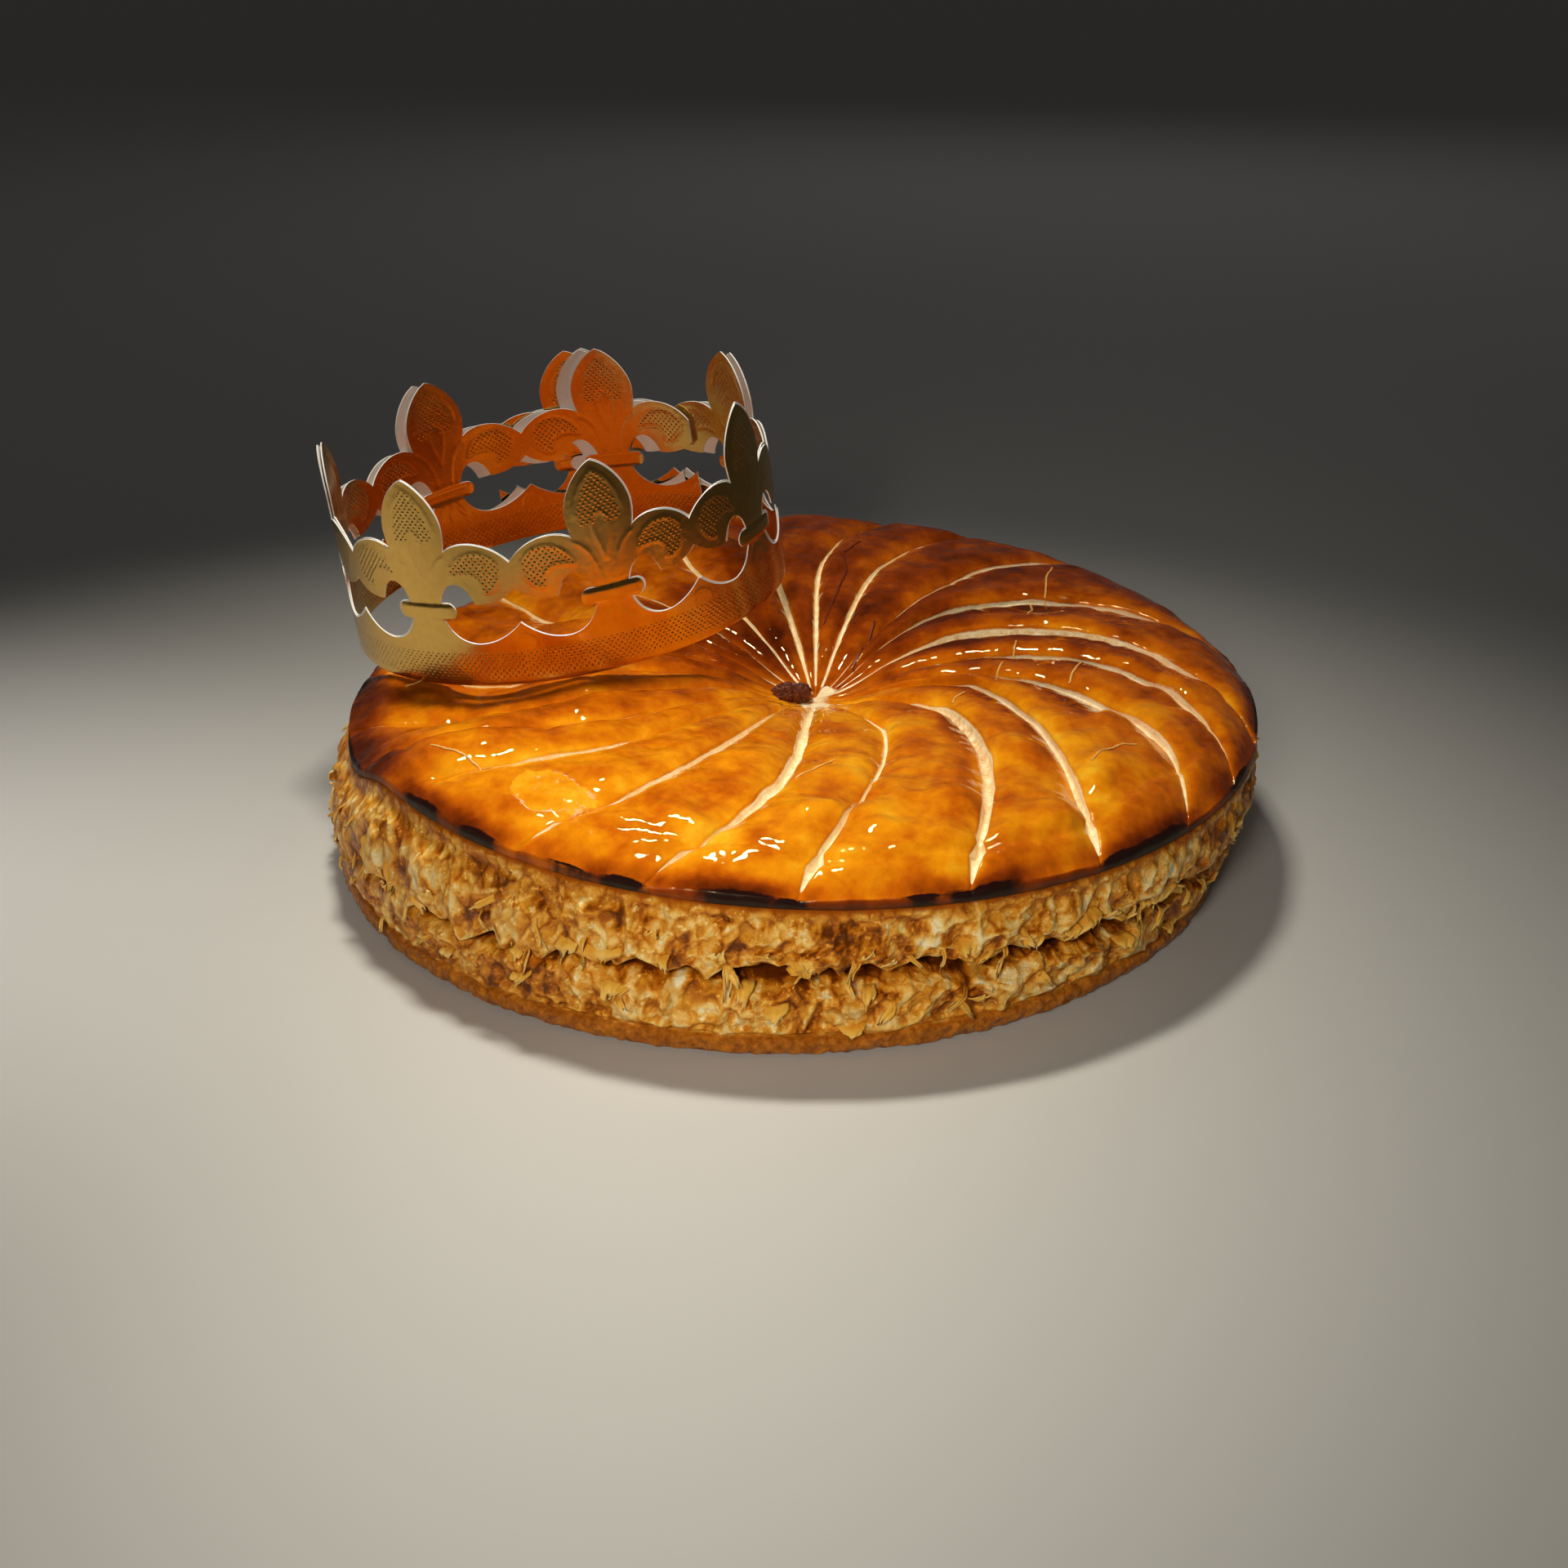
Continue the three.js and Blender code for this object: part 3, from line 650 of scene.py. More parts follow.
# Each split: its way over the lid as (radius, angle), how wide it is and whether it scorched
splits = [
    ([(101, 131), (92, 127), (83, 121)], 0.4, 0), ([(78, 122), (75, 118), (70, 114)], 0.4, 0),
    ([(75, 87), (73, 81), (72, 75)], 0.45, 0), ([(59, 100), (58, 97), (57, 94)], 0.35, 0),
    ([(53, 86), (52, 82), (51, 78)], 0.35, 0), ([(46, 63), (45.5, 58), (46, 53)], 0.4, 0),
    ([(100, 55), (97, 52.5), (96.5, 48), (97.5, 44)], 0.55, 0),
    ([(79, -3), (74, 2), (69, 5)], 0.4, 0), ([(112, -54), (109, -50), (107, -44)], 0.6, 0),
    ([(96, -90), (101, -86), (108, -84)], 0.5, 0),
    ([(89, 168), (76, 171), (64, 169), (53, 170), (30, 171)], 0.45, 1),
    ([(37, 149), (28, 144), (16, 137)], 0.5, 1), ([(43, 158), (37, 160), (33, 157)], 0.4, 1),
]


def grid_faces(rows, columns):
    """The quads between the points of a grid, row after row."""
    corner = np.arange(rows * columns).reshape(rows, columns)
    corners = [corner[:-1, :-1], corner[:-1, 1:], corner[1:, 1:], corner[1:, :-1]]
    return np.stack(corners, axis=2).reshape(-1, 4)


def thin_piece(name, points, faces, masks):
    """A new piece from points in mm and faces, with its masks, selected and active."""
    mesh = bpy.data.meshes.new(name)
    mesh.from_pydata((points * MM).tolist(), [], faces.tolist())
    add_masks(mesh, masks)
    piece = bpy.data.objects.new(name, mesh)
    bpy.context.collection.objects.link(piece)
    bpy.ops.object.select_all(action="DESELECT")
    piece.select_set(True)
    bpy.context.view_layer.objects.active = piece
    return piece


def thicken(piece, thickness, offset, **settings):
    """Gives the active piece its thickness in mm: at offset -1 all inwards, at 0 half each way."""
    wall = piece.modifiers.new("thickness", "SOLIDIFY")
    wall.thickness = thickness * MM
    wall.offset = offset
    for key, value in settings.items():
        setattr(wall, key, value)
    bpy.ops.object.modifier_apply(modifier="thickness")


def laid_on_lid(flat, above):
    """The flat points laid on the lid's skin, so much above it, in mm."""
    points = []
    for (px, py), lift in zip(flat, above):
        hit = lid_skin.ray_cast(Vector((px * MM, py * MM, 0.1)), Vector((0, 0, -1)))[0]
        points.append((px, py, hit.z / MM + lift))
    return np.array(points)


lid_points = [vertex.co for vertex in lid.data.vertices]
lid_skin = BVHTree.FromPolygons(lid_points, [face.vertices for face in lid.data.polygons])
random = np.random.default_rng(7)
skin_points, skin_faces, skin_scorch = [], [], []
across_split = np.array([-1, -0.5, 0, 0.5, 1])
split_step = 0.5
skin_thickness = 0.25
for way, split_width, scorched in splits:
    corners = np.stack(place_on_lid(*np.array(way, float).T), axis=1)
    lengths = np.concatenate([[0], np.cumsum(np.hypot(*np.diff(corners, axis=0).T))])
    steps = max(6, int(lengths[-1] / split_step))
    along = np.linspace(0, lengths[-1], steps)
    middle = np.stack([rounded(list(zip(lengths, corners[:, k])), 1)(along) for k in (0, 1)], axis=1)
    wander = np.cumsum(random.normal(0, 0.07, (steps, 2)), axis=0)
    middle = middle + wander - wander.mean(axis=0)
    ahead = np.gradient(middle, axis=0)
    ahead /= np.hypot(*ahead.T)[:, None]
    sideways = np.stack([-ahead[:, 1], ahead[:, 0]], axis=1)
    tapered = np.sqrt(np.sin(np.pi * np.linspace(0.02, 0.98, steps)))
    half = 0.5 * split_width * tapered * random.uniform(0.25, 1.4, steps)
    flat = middle[:, None, :] + sideways[:, None, :] * (half[:, None] * across_split)[:, :, None]
    lift = np.broadcast_to(0.07 - 0.1 * across_split ** 2, flat.shape[:2])
    skin_faces.append(grid_faces(steps, len(across_split)) + sum(len(p) for p in skin_points))
    skin_points.append(laid_on_lid(flat.reshape(-1, 2), lift.ravel()))
    skin_scorch.append(np.full(lift.size, float(scorched)))
skin = thin_piece("torn_skin", np.concatenate(skin_points), np.concatenate(skin_faces),
                  {"scorched": np.concatenate(skin_scorch)})
thicken(skin, skin_thickness, -1)
mend(skin)
bpy.ops.object.shade_smooth()

dry_skin, tree, shader = new_material("dry_skin")
spots = add_mottle(tree, 300, 900, 900)
skin_colour = mix_colours(tree, spots["Patches"], linear(246, 198, 112), linear(222, 142, 44))
skin_colour = mix_colours(tree, mask_of(tree, "scorched"), skin_colour, linear(112, 38, 6))
set_inputs(shader, Base_Color=skin_colour, Roughness=0.4)
skin.data.materials.append(dry_skin)

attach(skin, "root")
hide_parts("galette")


# ---- Puffed sides ----
# The edges of the two sheets of puff pastry: hundreds of thin leaves of dough that steam blew
# apart into crumpled bands. The upper sheet hangs in torn points over the cleft between the two,
# and the lower one stands on a thin crisp foot.

left_bulge = 2.6
cleft_height = 22.2
cleft_depth = 2.2
crag_height = 1.8
upper_hang = 5.2  # deepest of the torn points over the cleft
foot_hang = 2.2  # and of those over the foot
brow_rise = 2.4  # and of those that stand up into the cleft
hanging_points = 96
side_columns = 1200
side_rows = 78

# Height and radius of each sheet's edge, from inside the cake round its outer face and back in
upper_path = [(22.6, foot_radius - 12), (22.4, foot_radius - 5.6), (23.6, foot_radius - 3.8),
              (23.2, foot_radius - 1.4), (23.2, rim_radius + 1.0), (24.4, rim_radius + 2.2),
              (28.4, rim_radius + 2.8), (32, rim_radius + 2.7), (35.6, rim_radius + 2.1),
              (38.4, rim_radius + 1.3), (40.6, rim_radius + 0.8), (42.2, rim_radius + 0.2),
              (42.5, rim_radius - 1.6), (41.0, rim_radius - 9)]
lower_path = [(0, foot_radius - 10), (0, foot_radius - 1.8), (0.6, foot_radius - 0.7),
              (1.8, foot_radius), (3.6, foot_radius), (4.7, foot_radius - 0.4),
              (5.2, foot_radius - 1.9), (6.0, foot_radius - 1.4), (7.2, foot_radius + 0.2),
              (10, foot_radius + 1.1), (14, foot_radius + 1.6), (17.4, foot_radius + 1.2),
              (19.4, foot_radius - 0.8), (20.6, foot_radius - 3.4), (22.0, foot_radius - 6.0),
              (23.2, foot_radius - 12)]


def cells(points, size, seed):
    """Distance to the nearest of random points size apart, and how much further the next one is."""
    scaled = np.asarray(points, float) / size + 17.3 * seed
    home = np.floor(scaled).astype(np.int64)
    nearest = np.full(len(scaled), 9.0)
    second = np.full(len(scaled), 9.0)
    for corner in np.ndindex(3, 3, 3):
        at = home + corner - 1
        spot = np.stack([(scattered(at) >> shift) & 0x3FF for shift in (4, 14, 24)], axis=1) / 1023
        away = np.sqrt(((scaled - at - spot) ** 2).sum(axis=1))
        second = np.minimum(second, np.maximum(nearest, away))
        nearest = np.minimum(nearest, away)
    return nearest, second - nearest


def seam_shift(turn):
    """The cleft wanders up and down."""
    return 1.6 * np.sin(2 * turn + 0.6) + 0.9 * np.sin(5 * turn + 2) + 0.5 * np.sin(11 * turn)


def seam_opening(turn):
    """How far the cleft gapes: most at the front right and the back, hardly at the left."""
    gaping = 1.2 + 1.1 * np.cos(turn - math.radians(25))
    gaping = gaping + 0.7 * np.sin(3 * turn + 0.4) + 0.5 * np.sin(8 * turn + 1)
    return gaping - 1.2 * np.maximum(0, np.cos(turn + 1.1)) ** 6


def wall_place(degrees_round, height, radius):
    """A point of the side in mm, from its angle, its height in the risen band and its radius."""
    turn = np.radians(degrees_round)
    shifted = height + seam_shift(turn) * (1 - smooth(0, 13, np.abs(height - 21.5)))
    lift = smooth(0, rim_height, height)
    place_x = mix(foot_centre[0], rim_centre[0], lift) + radius * np.sin(turn)
    place_y = mix(foot_centre[1], rim_centre[1], lift) - radius * np.cos(turn)
    sunk = slump(degrees_round, rim_radius) * smooth(4, rim_height, shifted)
    return np.stack([place_x, place_y, risen(place_x, place_y, shifted) - sunk], axis=1)


def bulging(turn, height):
    """The left flank has puffed out further than the rest."""
    leftness = np.maximum(0, np.cos(turn + math.radians(60))) ** 8
    return left_bulge * leftness * plateau(height, 6, 26, 32, 41)


def torn_points(degrees_round, seed, deepest):
    """How far the torn edge of a sheet sticks out in points, at each angle round the wall."""
    draw = np.random.default_rng(seed)
    hang = np.zeros(len(degrees_round))
    for number in range(hanging_points):
        centre = 360 * (number + draw.uniform(-0.8, 0.8)) / hanging_points
        half_width = draw.uniform(1.4, 4.2)
        away = np.abs(wrapped(degrees_round - centre)) / half_width
        hang = np.maximum(hang, deepest * draw.uniform(0.2, 1) ** 1.5 * clamp01(1 - away) ** 1.4)
    return hang


def side_sheet(name, path, seed):
    """The crumpled edge of one sheet of dough, closed inside the cake."""
    path_height, path_radius = np.array(path, float).T
    steps = np.hypot(np.diff(path_height), np.diff(path_radius))
    lengths = np.concatenate([[0], np.cumsum(steps)])
    soft_height = rounded(list(zip(lengths, path_height)), 0.5)
    soft_radius = rounded(list(zip(lengths, path_radius)), 0.5)
    sheet, column, row = rolled_sheet(name, side_columns, side_rows)
    degrees_round = 360.0 * column / side_columns
    along_path = clamp01((row - 1) / (side_rows - 2)) * lengths[-1]
    height, base = soft_height(along_path), soft_radius(along_path)
    outside_foot = base - foot_radius
    turn = np.radians(degrees_round)

    # Crumple: dished flakes and sharp creases where the leaves tore, soft pillows elsewhere
    ring = np.stack([foot_radius * np.sin(turn), -foot_radius * np.cos(turn),
                     height + 0.6 * base], axis=1)
    warp = np.stack([lumps(ring, 9, seed + k) for k in range(3)], axis=1) * 4.0
    folded = ring + warp
    facet, facet_edge = cells(folded * np.array([1, 1, 0.62]), 8.5, seed + 3)
    crease, crease_edge = cells((folded + 0.5 * warp) * np.array([1, 1, 0.75]), 3.6, seed + 4)
    pillow = np.abs(lumps(ring + 0.5 * warp, 8, seed + 5))
    fine = lumps(ring + 0.3 * warp, 1.6, seed + 6)
    calmer_left = 1 - 0.6 * np.maximum(0, np.cos(turn + 1.25)) ** 4
    torn_here = smooth(-0.5, 0.3, lumps(ring, 24, seed + 7)) * calmer_left
    in_bands = plateau(height, 5.8, 8, 38, 41.6)
    on_foot = 1 - smooth(4.8, 5.6, height)
    rough = 5.4 * facet ** 2 + 2.6 * crease ** 2 - 3.8
    puffed = 3.6 * pillow + 1.1 * (1 - np.abs(lumps(folded, 3.2, seed + 8)) * 2) - 1.9
    crumple = in_bands * (mix(puffed, rough, 0.3 + 0.6 * torn_here) + 0.45 * fine)
    crumple *= 1 - 0.35 * np.maximum(0, np.cos(turn + 1.2)) ** 4
    crumple += on_foot * (height > 0.2) * (0.6 * lumps(ring, 1.5, 18) + 0.4 * lumps(ring, 4, 19))
    crumple += (1 - in_bands) * (1 - on_foot) * 0.25 * lumps(ring, 1.6, 20)
    levelled = crag_height * (1 - np.exp(-np.maximum(crumple, 0) / crag_height))
    crumple = np.where(crumple > 0, levelled, crumple)
    from_cleft = np.abs(height - cleft_height)
    inside_cleft = (1 - smooth(1.5, 4.5, from_cleft)) * smooth(-0.4, -4.5, outside_foot)

    # The cleft cuts in, and the torn lips hang down or stand up beside it
    radius = base + bulging(turn, height) + crumple * smooth(-9, -4, outside_foot)
    radius = radius - cleft_depth * inside_cleft * seam_opening(turn)
    if path is upper_path:
        lip = smooth(-3.5, 0, outside_foot) * (1 - smooth(24.5, 33, height))
        opened = 1.2 * seam_opening(turn) - 0.7
        height = height - lip * (torn_points(degrees_round, seed, upper_hang) - opened)
    else:
        lip = plateau(height, 5.4, 6.4, 7.5, 12)
        height = height - lip * torn_points(degrees_round, seed, foot_hang)
        brow = smooth(15, 19.5, height) * (1 - inside_cleft)
        standing = torn_points(degrees_round, seed + 1, brow_rise)
        height = height + brow * (standing - 0.9 * seam_opening(turn))

    # The first and last row close the sheet in the middle of the cake
    radius = np.where((row == 0) | (row == side_rows), 0, radius)
    height = np.where(row == 0, path_height[0] * 1.1, height)
    height = np.where(row == side_rows, min(path_height[-1] + 1, 30), height)
    # Painted shade in the pits of the crumple and deep in the cleft
    pit = np.where(torn_here > 0.4, smooth(0.55, 0.15, facet), smooth(0.45, 0.1, pillow))
    # Painted highlight along the torn ridges and creases
    ridge_highlight = torn_here * (1 - smooth(0.02, 0.16, facet_edge))
    ridge_highlight += 0.6 * (1 - smooth(0.02, 0.2, crease_edge))
    shape_sheet(sheet, wall_place(degrees_round, np.maximum(height, 0), radius), {
        "recess_shade": clamp01(0.3 * pit * in_bands + inside_cleft),
        "ridge_highlight": clamp01(ridge_highlight) * in_bands * (1 - inside_cleft),
        "foot": on_foot,
        "dripped": smooth(41.2, 42.2, height + 0.5 * fine),
    })
    return sheet


upper_sheet = side_sheet("upper_sheet_edge", upper_path, 31)
lower_sheet = side_sheet("lower_sheet_edge", lower_path, 51)

leaves, tree, shader = new_material("puff_leaves")
spots = add_mottle(tree, 130, 560, 500)
patches, grain = spots["Patches"], spots["Grain"]


def vector_node(operation, a, b):
    """A step of vector arithmetic in the leaves' material."""
    return add_node(tree, "ShaderNodeVectorMath", {"operation": operation}, in_0=a, in_1=b).outputs[0]


# Torn flakes: shallow dished facets, taller than wide, with paler edges and fine crinkles
flake_scale = 230
flake_drift = 0.008
where = place_on_piece(tree)
drift = add_node(tree, "ShaderNodeTexNoise", Vector=where, Scale=120.0, Detail=3.0).outputs["Color"]
drift = vector_node("MULTIPLY", vector_node("SUBTRACT", drift, (0.5, 0.5, 0.5)), [flake_drift] * 3)
flake_place = vector_node("MULTIPLY", vector_node("ADD", where, drift), (1, 1, 0.7))
dish = add_node(tree, "ShaderNodeTexVoronoi", Vector=flake_place, Scale=flake_scale)
dish = dish.outputs["Distance"]
edge = add_node(tree, "ShaderNodeTexVoronoi", {"feature": "DISTANCE_TO_EDGE"}, Vector=flake_place,
                Scale=flake_scale)
edge = mask_between(tree, edge.outputs["Distance"], 0.16, 0.0)
crinkle = add_node(tree, "ShaderNodeTexNoise", {"noise_type": "RIDGED_MULTIFRACTAL"},
                   Vector=flake_place, Scale=0.45 * flake_scale, Detail=2.0, Roughness=0.5,
                   Distortion=0.8)
crinkle = mask_between(tree, crinkle.outputs[0], 0.2, 1.8)

pale_flecks = total(tree, -3.9, (grain, 7.0), clamp=True)
# Painted shade in recesses and painted highlight on ridges, mixed with the dough's own mottling and
# flecks
shade = total(tree, 0.14, (mask_of(tree, "recess_shade"), 0.55), (mask_of(tree, "ridge_highlight"), -0.22),
              (dish, 0.2), (edge, 0.1), (crinkle, -0.5), (patches, 0.55), (grain, 0.3),
              (pale_flecks, -0.3))
dough = colour_ramp(tree, total(tree, -0.345, (shade, 1.5)), [
    (0.08, linear(255, 238, 198)),
    (0.34, linear(248, 206, 120)),
    (0.56, linear(230, 158, 46)),
    (0.78, linear(186, 102, 14)),
    (1.0, linear(104, 46, 4)),
])
foot_grain = total(tree, -0.7, (grain, 2.4), clamp=True)
foot_colour = mix_colours(tree, foot_grain, linear(128, 58, 4), linear(208, 128, 36))
dough = mix_colours(tree, mask_of(tree, "foot"), dough, foot_colour)
dough = mix_colours(tree, mask_of(tree, "dripped"), dough, linear(176, 88, 14))
crisp = total(tree, math_node(tree, "MULTIPLY", grain, 0.35), (dish, 0.6), (crinkle, 1.0))
set_inputs(shader, Base_Color=dough, Roughness=0.34, Specular_Tint=(1.0, 0.95, 0.6, 1),
           Subsurface_Weight=0.25, Subsurface_Radius=(1.0, 0.55, 0.2), Subsurface_Scale=0.002,
           Normal=bump(tree, crisp, 1.0, 0.0018))
for sheet in (upper_sheet, lower_sheet):
    sheet.data.materials.append(leaves)
    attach(sheet, "root")
    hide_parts("galette")


# ---- Loose leaves on the sides ----
# Where the bands tore open, single leaves of dough stand off as thin curled flaps and wisps,
# still joined to the wall at their roots.

# Kinds of leaf: how many, height of the root, which way it runs, then the ranges of its length,
# width, twist and curl, and how far it narrows to its tip
leaf_kinds = [
    (26, (27, 31), -1.55, (6, 10), (5, 10), (-0.2, 0.2), (0.5, 1.8), 0.9),
    (60, (8, 34), -1.4, (3, 6), (3, 6), (-0.5, 0.5), (0.8, 2.6), 0.6),
    (40, (8, 34), 1.2, (3, 5.5), (2, 5), (-0.6, 0.6), (0.8, 2.4), 0.6),
    (36, (26, 31), -1.5, (8, 13), (0.9, 2.4), (-1.3, 1.3), (0.4, 1.6), 0.3),
    (48, (12, 36), -0.8, (4, 9), (1.2, 3.2), (-1.0, 1.0), (0.8, 2.2), 0.8),
    (40, (12, 36), -2.3, (4, 8), (1.0, 2.6), (-1.0, 1.0), (0.8, 2.2), 0.8),
]
leaf_columns = 10
leaf_rows = 7
leaf_thickness = 0.3
root_depth = 1.8
leaf_reach = 2.4  # furthest that a leaf stands off the wall
random = np.random.default_rng(12)


def leaf_points(angle_at, height_at, length, leaf_width, slant, twist, curl, taper):
    """A leaf's points in mm, in rows from its root to its torn tip."""
    grown = np.repeat(np.linspace(0, 1, leaf_rows + 1), leaf_columns + 1)
    aside = np.tile(np.linspace(-1, 1, leaf_columns + 1), leaf_rows + 1)
    phase = random.uniform(0, 6, 4)
    torn = 0.72 + 0.28 * np.sin(2.7 * aside + phase[0]) * np.sin(5.3 * aside + phase[1])
    torn += np.tile(random.uniform(-0.13, 0.13, leaf_columns + 1), leaf_rows + 1)
    grown = grown * torn
    half = 0.5 * leaf_width * (1 - taper * smooth(0.1, 1, grown))
    sideways = aside * (half * (1 + 0.15 * np.sin(8 * grown + phase[2])))
    run = grown * length * math.cos(slant) - sideways * math.cos(twist) * math.sin(slant)
    rise = grown * length * math.sin(slant) + sideways * math.cos(twist) * math.cos(slant)
    rise += 0.8 * np.sin(3 * aside + phase[3]) * (leaf_width > 6)
    out = -root_depth + 2.3 * smooth(0, 0.25, grown) + curl * grown * grown * (1.5 - grown)
    out = out + sideways * math.sin(twist)
    crinkled = 0.45 * np.sin(5 * aside + 4 * grown + phase[0]) * np.sqrt(grown)
    out += crinkled + 0.3 * np.sin(9 * aside + phase[1]) * grown
    at_height = np.clip(height_at + rise, 4, 40)
    at_angle = angle_at + np.degrees(run / foot_radius)
    wall = outer_wall(at_height) + bulging(np.radians(at_angle), at_height)
    return wall_place(at_angle, at_height, wall + np.minimum(out, leaf_reach))


# Radius of the sides at each height
outer_wall = rounded([(4, foot_radius), (9, foot_radius), (14, foot_radius + 1.2), (19, foot_radius),
                      (22, foot_radius - 1.5), (25, foot_radius + 0.4), (30, rim_radius + 2.2),
                      (36, rim_radius + 1.6), (40, rim_radius)], 0.8)
leaf_vertices = []
for count, root, runs, length, leaf_width, twist, curl, taper in leaf_kinds:
    for number in range(count):
        angle_at = 360 * (number + random.uniform(-0.3, 1.3)) / count
        height_at, long, wide = (random.uniform(*limits) for limits in (root, length, leaf_width))
        slant = runs + random.uniform(-0.4, 0.4) * taper
        leaf_vertices.append(leaf_points(angle_at, height_at, long, wide, slant,
                                         random.uniform(*twist), random.uniform(*curl), taper))
one_leaf = grid_faces(leaf_rows + 1, leaf_columns + 1)
leaf_size = len(leaf_vertices[0])
leaf_faces = [one_leaf + number * leaf_size for number in range(len(leaf_vertices))]
tip = np.tile(np.repeat(np.linspace(0, 1, leaf_rows + 1), leaf_columns + 1), len(leaf_vertices))
flaps = thin_piece("loose_leaves", np.concatenate(leaf_vertices), np.concatenate(leaf_faces),
                   {"tip": tip})
thicken(flaps, leaf_thickness, 0)
bpy.ops.object.shade_smooth()

flap_finish, tree, shader = new_material("dry_leaf")
spots = add_mottle(tree, 160, 700, 700)
shade = total(tree, 0.06, (mask_of(tree, "tip"), -0.3), (spots["Patches"], 0.9))
leaf_colour = colour_ramp(tree, shade, [
    (0.1, linear(252, 218, 136)),
    (0.35, linear(242, 186, 74)),
    (0.6, linear(218, 142, 34)),
    (1.0, linear(166, 90, 14)),
])
set_inputs(shader, Base_Color=leaf_colour, Roughness=0.42,
           Normal=bump(tree, spots["Grain"], 0.4, 0.0005))
flaps.data.materials.append(flap_finish)

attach(flaps, "root")
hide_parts("galette")


# ---- Crumb in the vent ----
# A little almond filling boiled out of the hole at the hub and baked to a dark, sticky,
# granular crumb of two lobes.

low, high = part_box("vent_filling")
crumb_centre = np.array((low + high) / 2) / MM
crumb_half = np.array((high - low) / 2) / MM
bpy.ops.object.select_all(action="DESELECT")
bpy.ops.mesh.primitive_ico_sphere_add(subdivisions=6, radius=1)
crumb = bpy.context.object
crumb.name = "baked_crumb"
unit = np.empty(3 * len(crumb.data.vertices))
crumb.data.vertices.foreach_get("co", unit)
unit = unit.reshape(-1, 3)
waist = 1 - 0.28 * np.exp(-((unit[:, 0] - 0.15) / 0.22) ** 2)
grains = 1 - np.abs(lumps(unit * crumb_half, 0.9, 21)) * 2
size_here = 0.82 * waist + 0.13 * grains + 0.1 * lumps(unit * crumb_half, 2.4, 22)
grown = unit * size_here[:, None]
grown = grown / np.abs(grown).max(0)
crumb.data.vertices.foreach_set("co", ((crumb_centre + grown * crumb_half) * MM).ravel())
bpy.ops.object.shade_smooth()

filling, tree, shader = new_material("baked_filling")
spots = add_mottle(tree, 500, 2200, 1500)
grains_colour = mix_colours(tree, spots["Patches"], linear(46, 14, 6), linear(134, 62, 24))
set_inputs(shader, Base_Color=grains_colour, Roughness=0.22,
           Normal=bump(tree, spots["Grain"], 0.8, 0.0006))
crumb.data.materials.append(filling)

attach(crumb, "root")
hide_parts("vent_filling")


# ---- Card crown ----
# A strip of thin white card faced with gold foil, folded along its bottom edge so that gold
# shows on both faces, stamped with fleurs-de-lis, and rolled into a ring with its ends glued.

crown_centre = (-60.7, 35.0, 52.6)
crown_lean = (math.radians(2.1), math.radians(-7.2))
crown_radius = 59.8
crown_oval = 0.036
crown_oval_at = math.radians(22)
crown_taper = 0.03
fleurs = 7
first_fleur_at = math.radians(-31.1)
fleur_drift = math.radians(2.7)
drift_from = math.radians(75)
crown_height = 56.6
card_thickness = 0.42
overlap_step = 1.65  # how much further out the strip's glued end lies than its start
fold_length = 1.4  # card of the outer ply that turns under at the fold
fold_drop = 0.25
fold_gap = 0.45
inner_creep = 1.026  # the inner ply has crept along the outer one as the strip was rolled
pitch = 2 * math.pi * crown_radius / fleurs
mesh_size = 0.62


def bezier(start, a, b, end, count):
    """Points of a bezier curve, without its first."""
    t = np.linspace(0, 1, count + 1)[1:, None]
    start, a, b, end = (np.array(p, float) for p in (start, a, b, end))
    return (1 - t) ** 3 * start + 3 * t * (1 - t) ** 2 * a + 3 * t * t * (1 - t) * b + t ** 3 * end


def straight(start, end, count):
    t = np.linspace(0, 1, count + 1)[1:, None]
    return np.array(start, float) * (1 - t) + np.array(end, float) * t


def right_edge(bottom):
    """The fleur's edge from the bottom middle of its band out, round the slot and up to its tip."""
    side_x = pitch / 2
    arc_turn = np.linspace(-math.pi / 2, math.pi / 2, 13)[1:]
    bar_end = np.stack([6.8 + 2.3 * np.cos(arc_turn), 20.9 + 2.3 * np.sin(arc_turn)], axis=1)
    return np.concatenate([
        [(0, bottom)],
        straight((0, bottom), (side_x, bottom), 43),
        straight((side_x, bottom), (side_x, 17.1), 28),
        bezier((side_x, 17.1), (19.2, 9.9), (8.4, 9.4), (5.1, 18.6), 42),
        straight((5.1, 18.6), (6.8, 18.6), 3),
        bar_end,
        straight((6.8, 23.2), (4.9, 23.2), 3),
        bezier((4.9, 23.2), (6.9, 30.5), (13, 30.5), (15.2, 22.9), 24),
        bezier((15.2, 22.9), (20.2, 22.5), (24.1, 24.1), (side_x, 26.6), 20),
        straight((side_x, 26.6), (side_x, 33.7), 12),
        bezier((side_x, 33.7), (22.2, 39.4), (13.3, 41), (8.7, 37.4), 32),
        bezier((8.7, 37.4), (9, 39), (9.5, 40.9), (9.5, 43.3), 10),
        bezier((9.5, 43.3), (9.5, 48.8), (4.4, 55.2), (0, crown_height), 26),
    ])


def inside_loop(points, loop):
    """Which points lie inside a closed loop."""
    inside = np.zeros(len(points), bool)
    following = np.roll(loop, -1, axis=0)
    for (ax, ay), (bx, by) in zip(loop, following):
        if ay == by:
            continue
        crosses = (ay > points[:, 1]) != (by > points[:, 1])
        inside ^= crosses & (points[:, 0] < (bx - ax) * (points[:, 1] - ay) / (by - ay) + ax)
    return inside


def distance_to(points, line):
    """Distance from each point to a line of points."""
    best = np.full(len(points), 1e9)
    for a, b in zip(line[:-1], line[1:]):
        along_line = b - a
        t = clamp01(((points - a) @ along_line) / max(along_line @ along_line, 1e-9))
        best = np.minimum(best, np.hypot(*(points - a - t[:, None] * along_line).T))
    return best


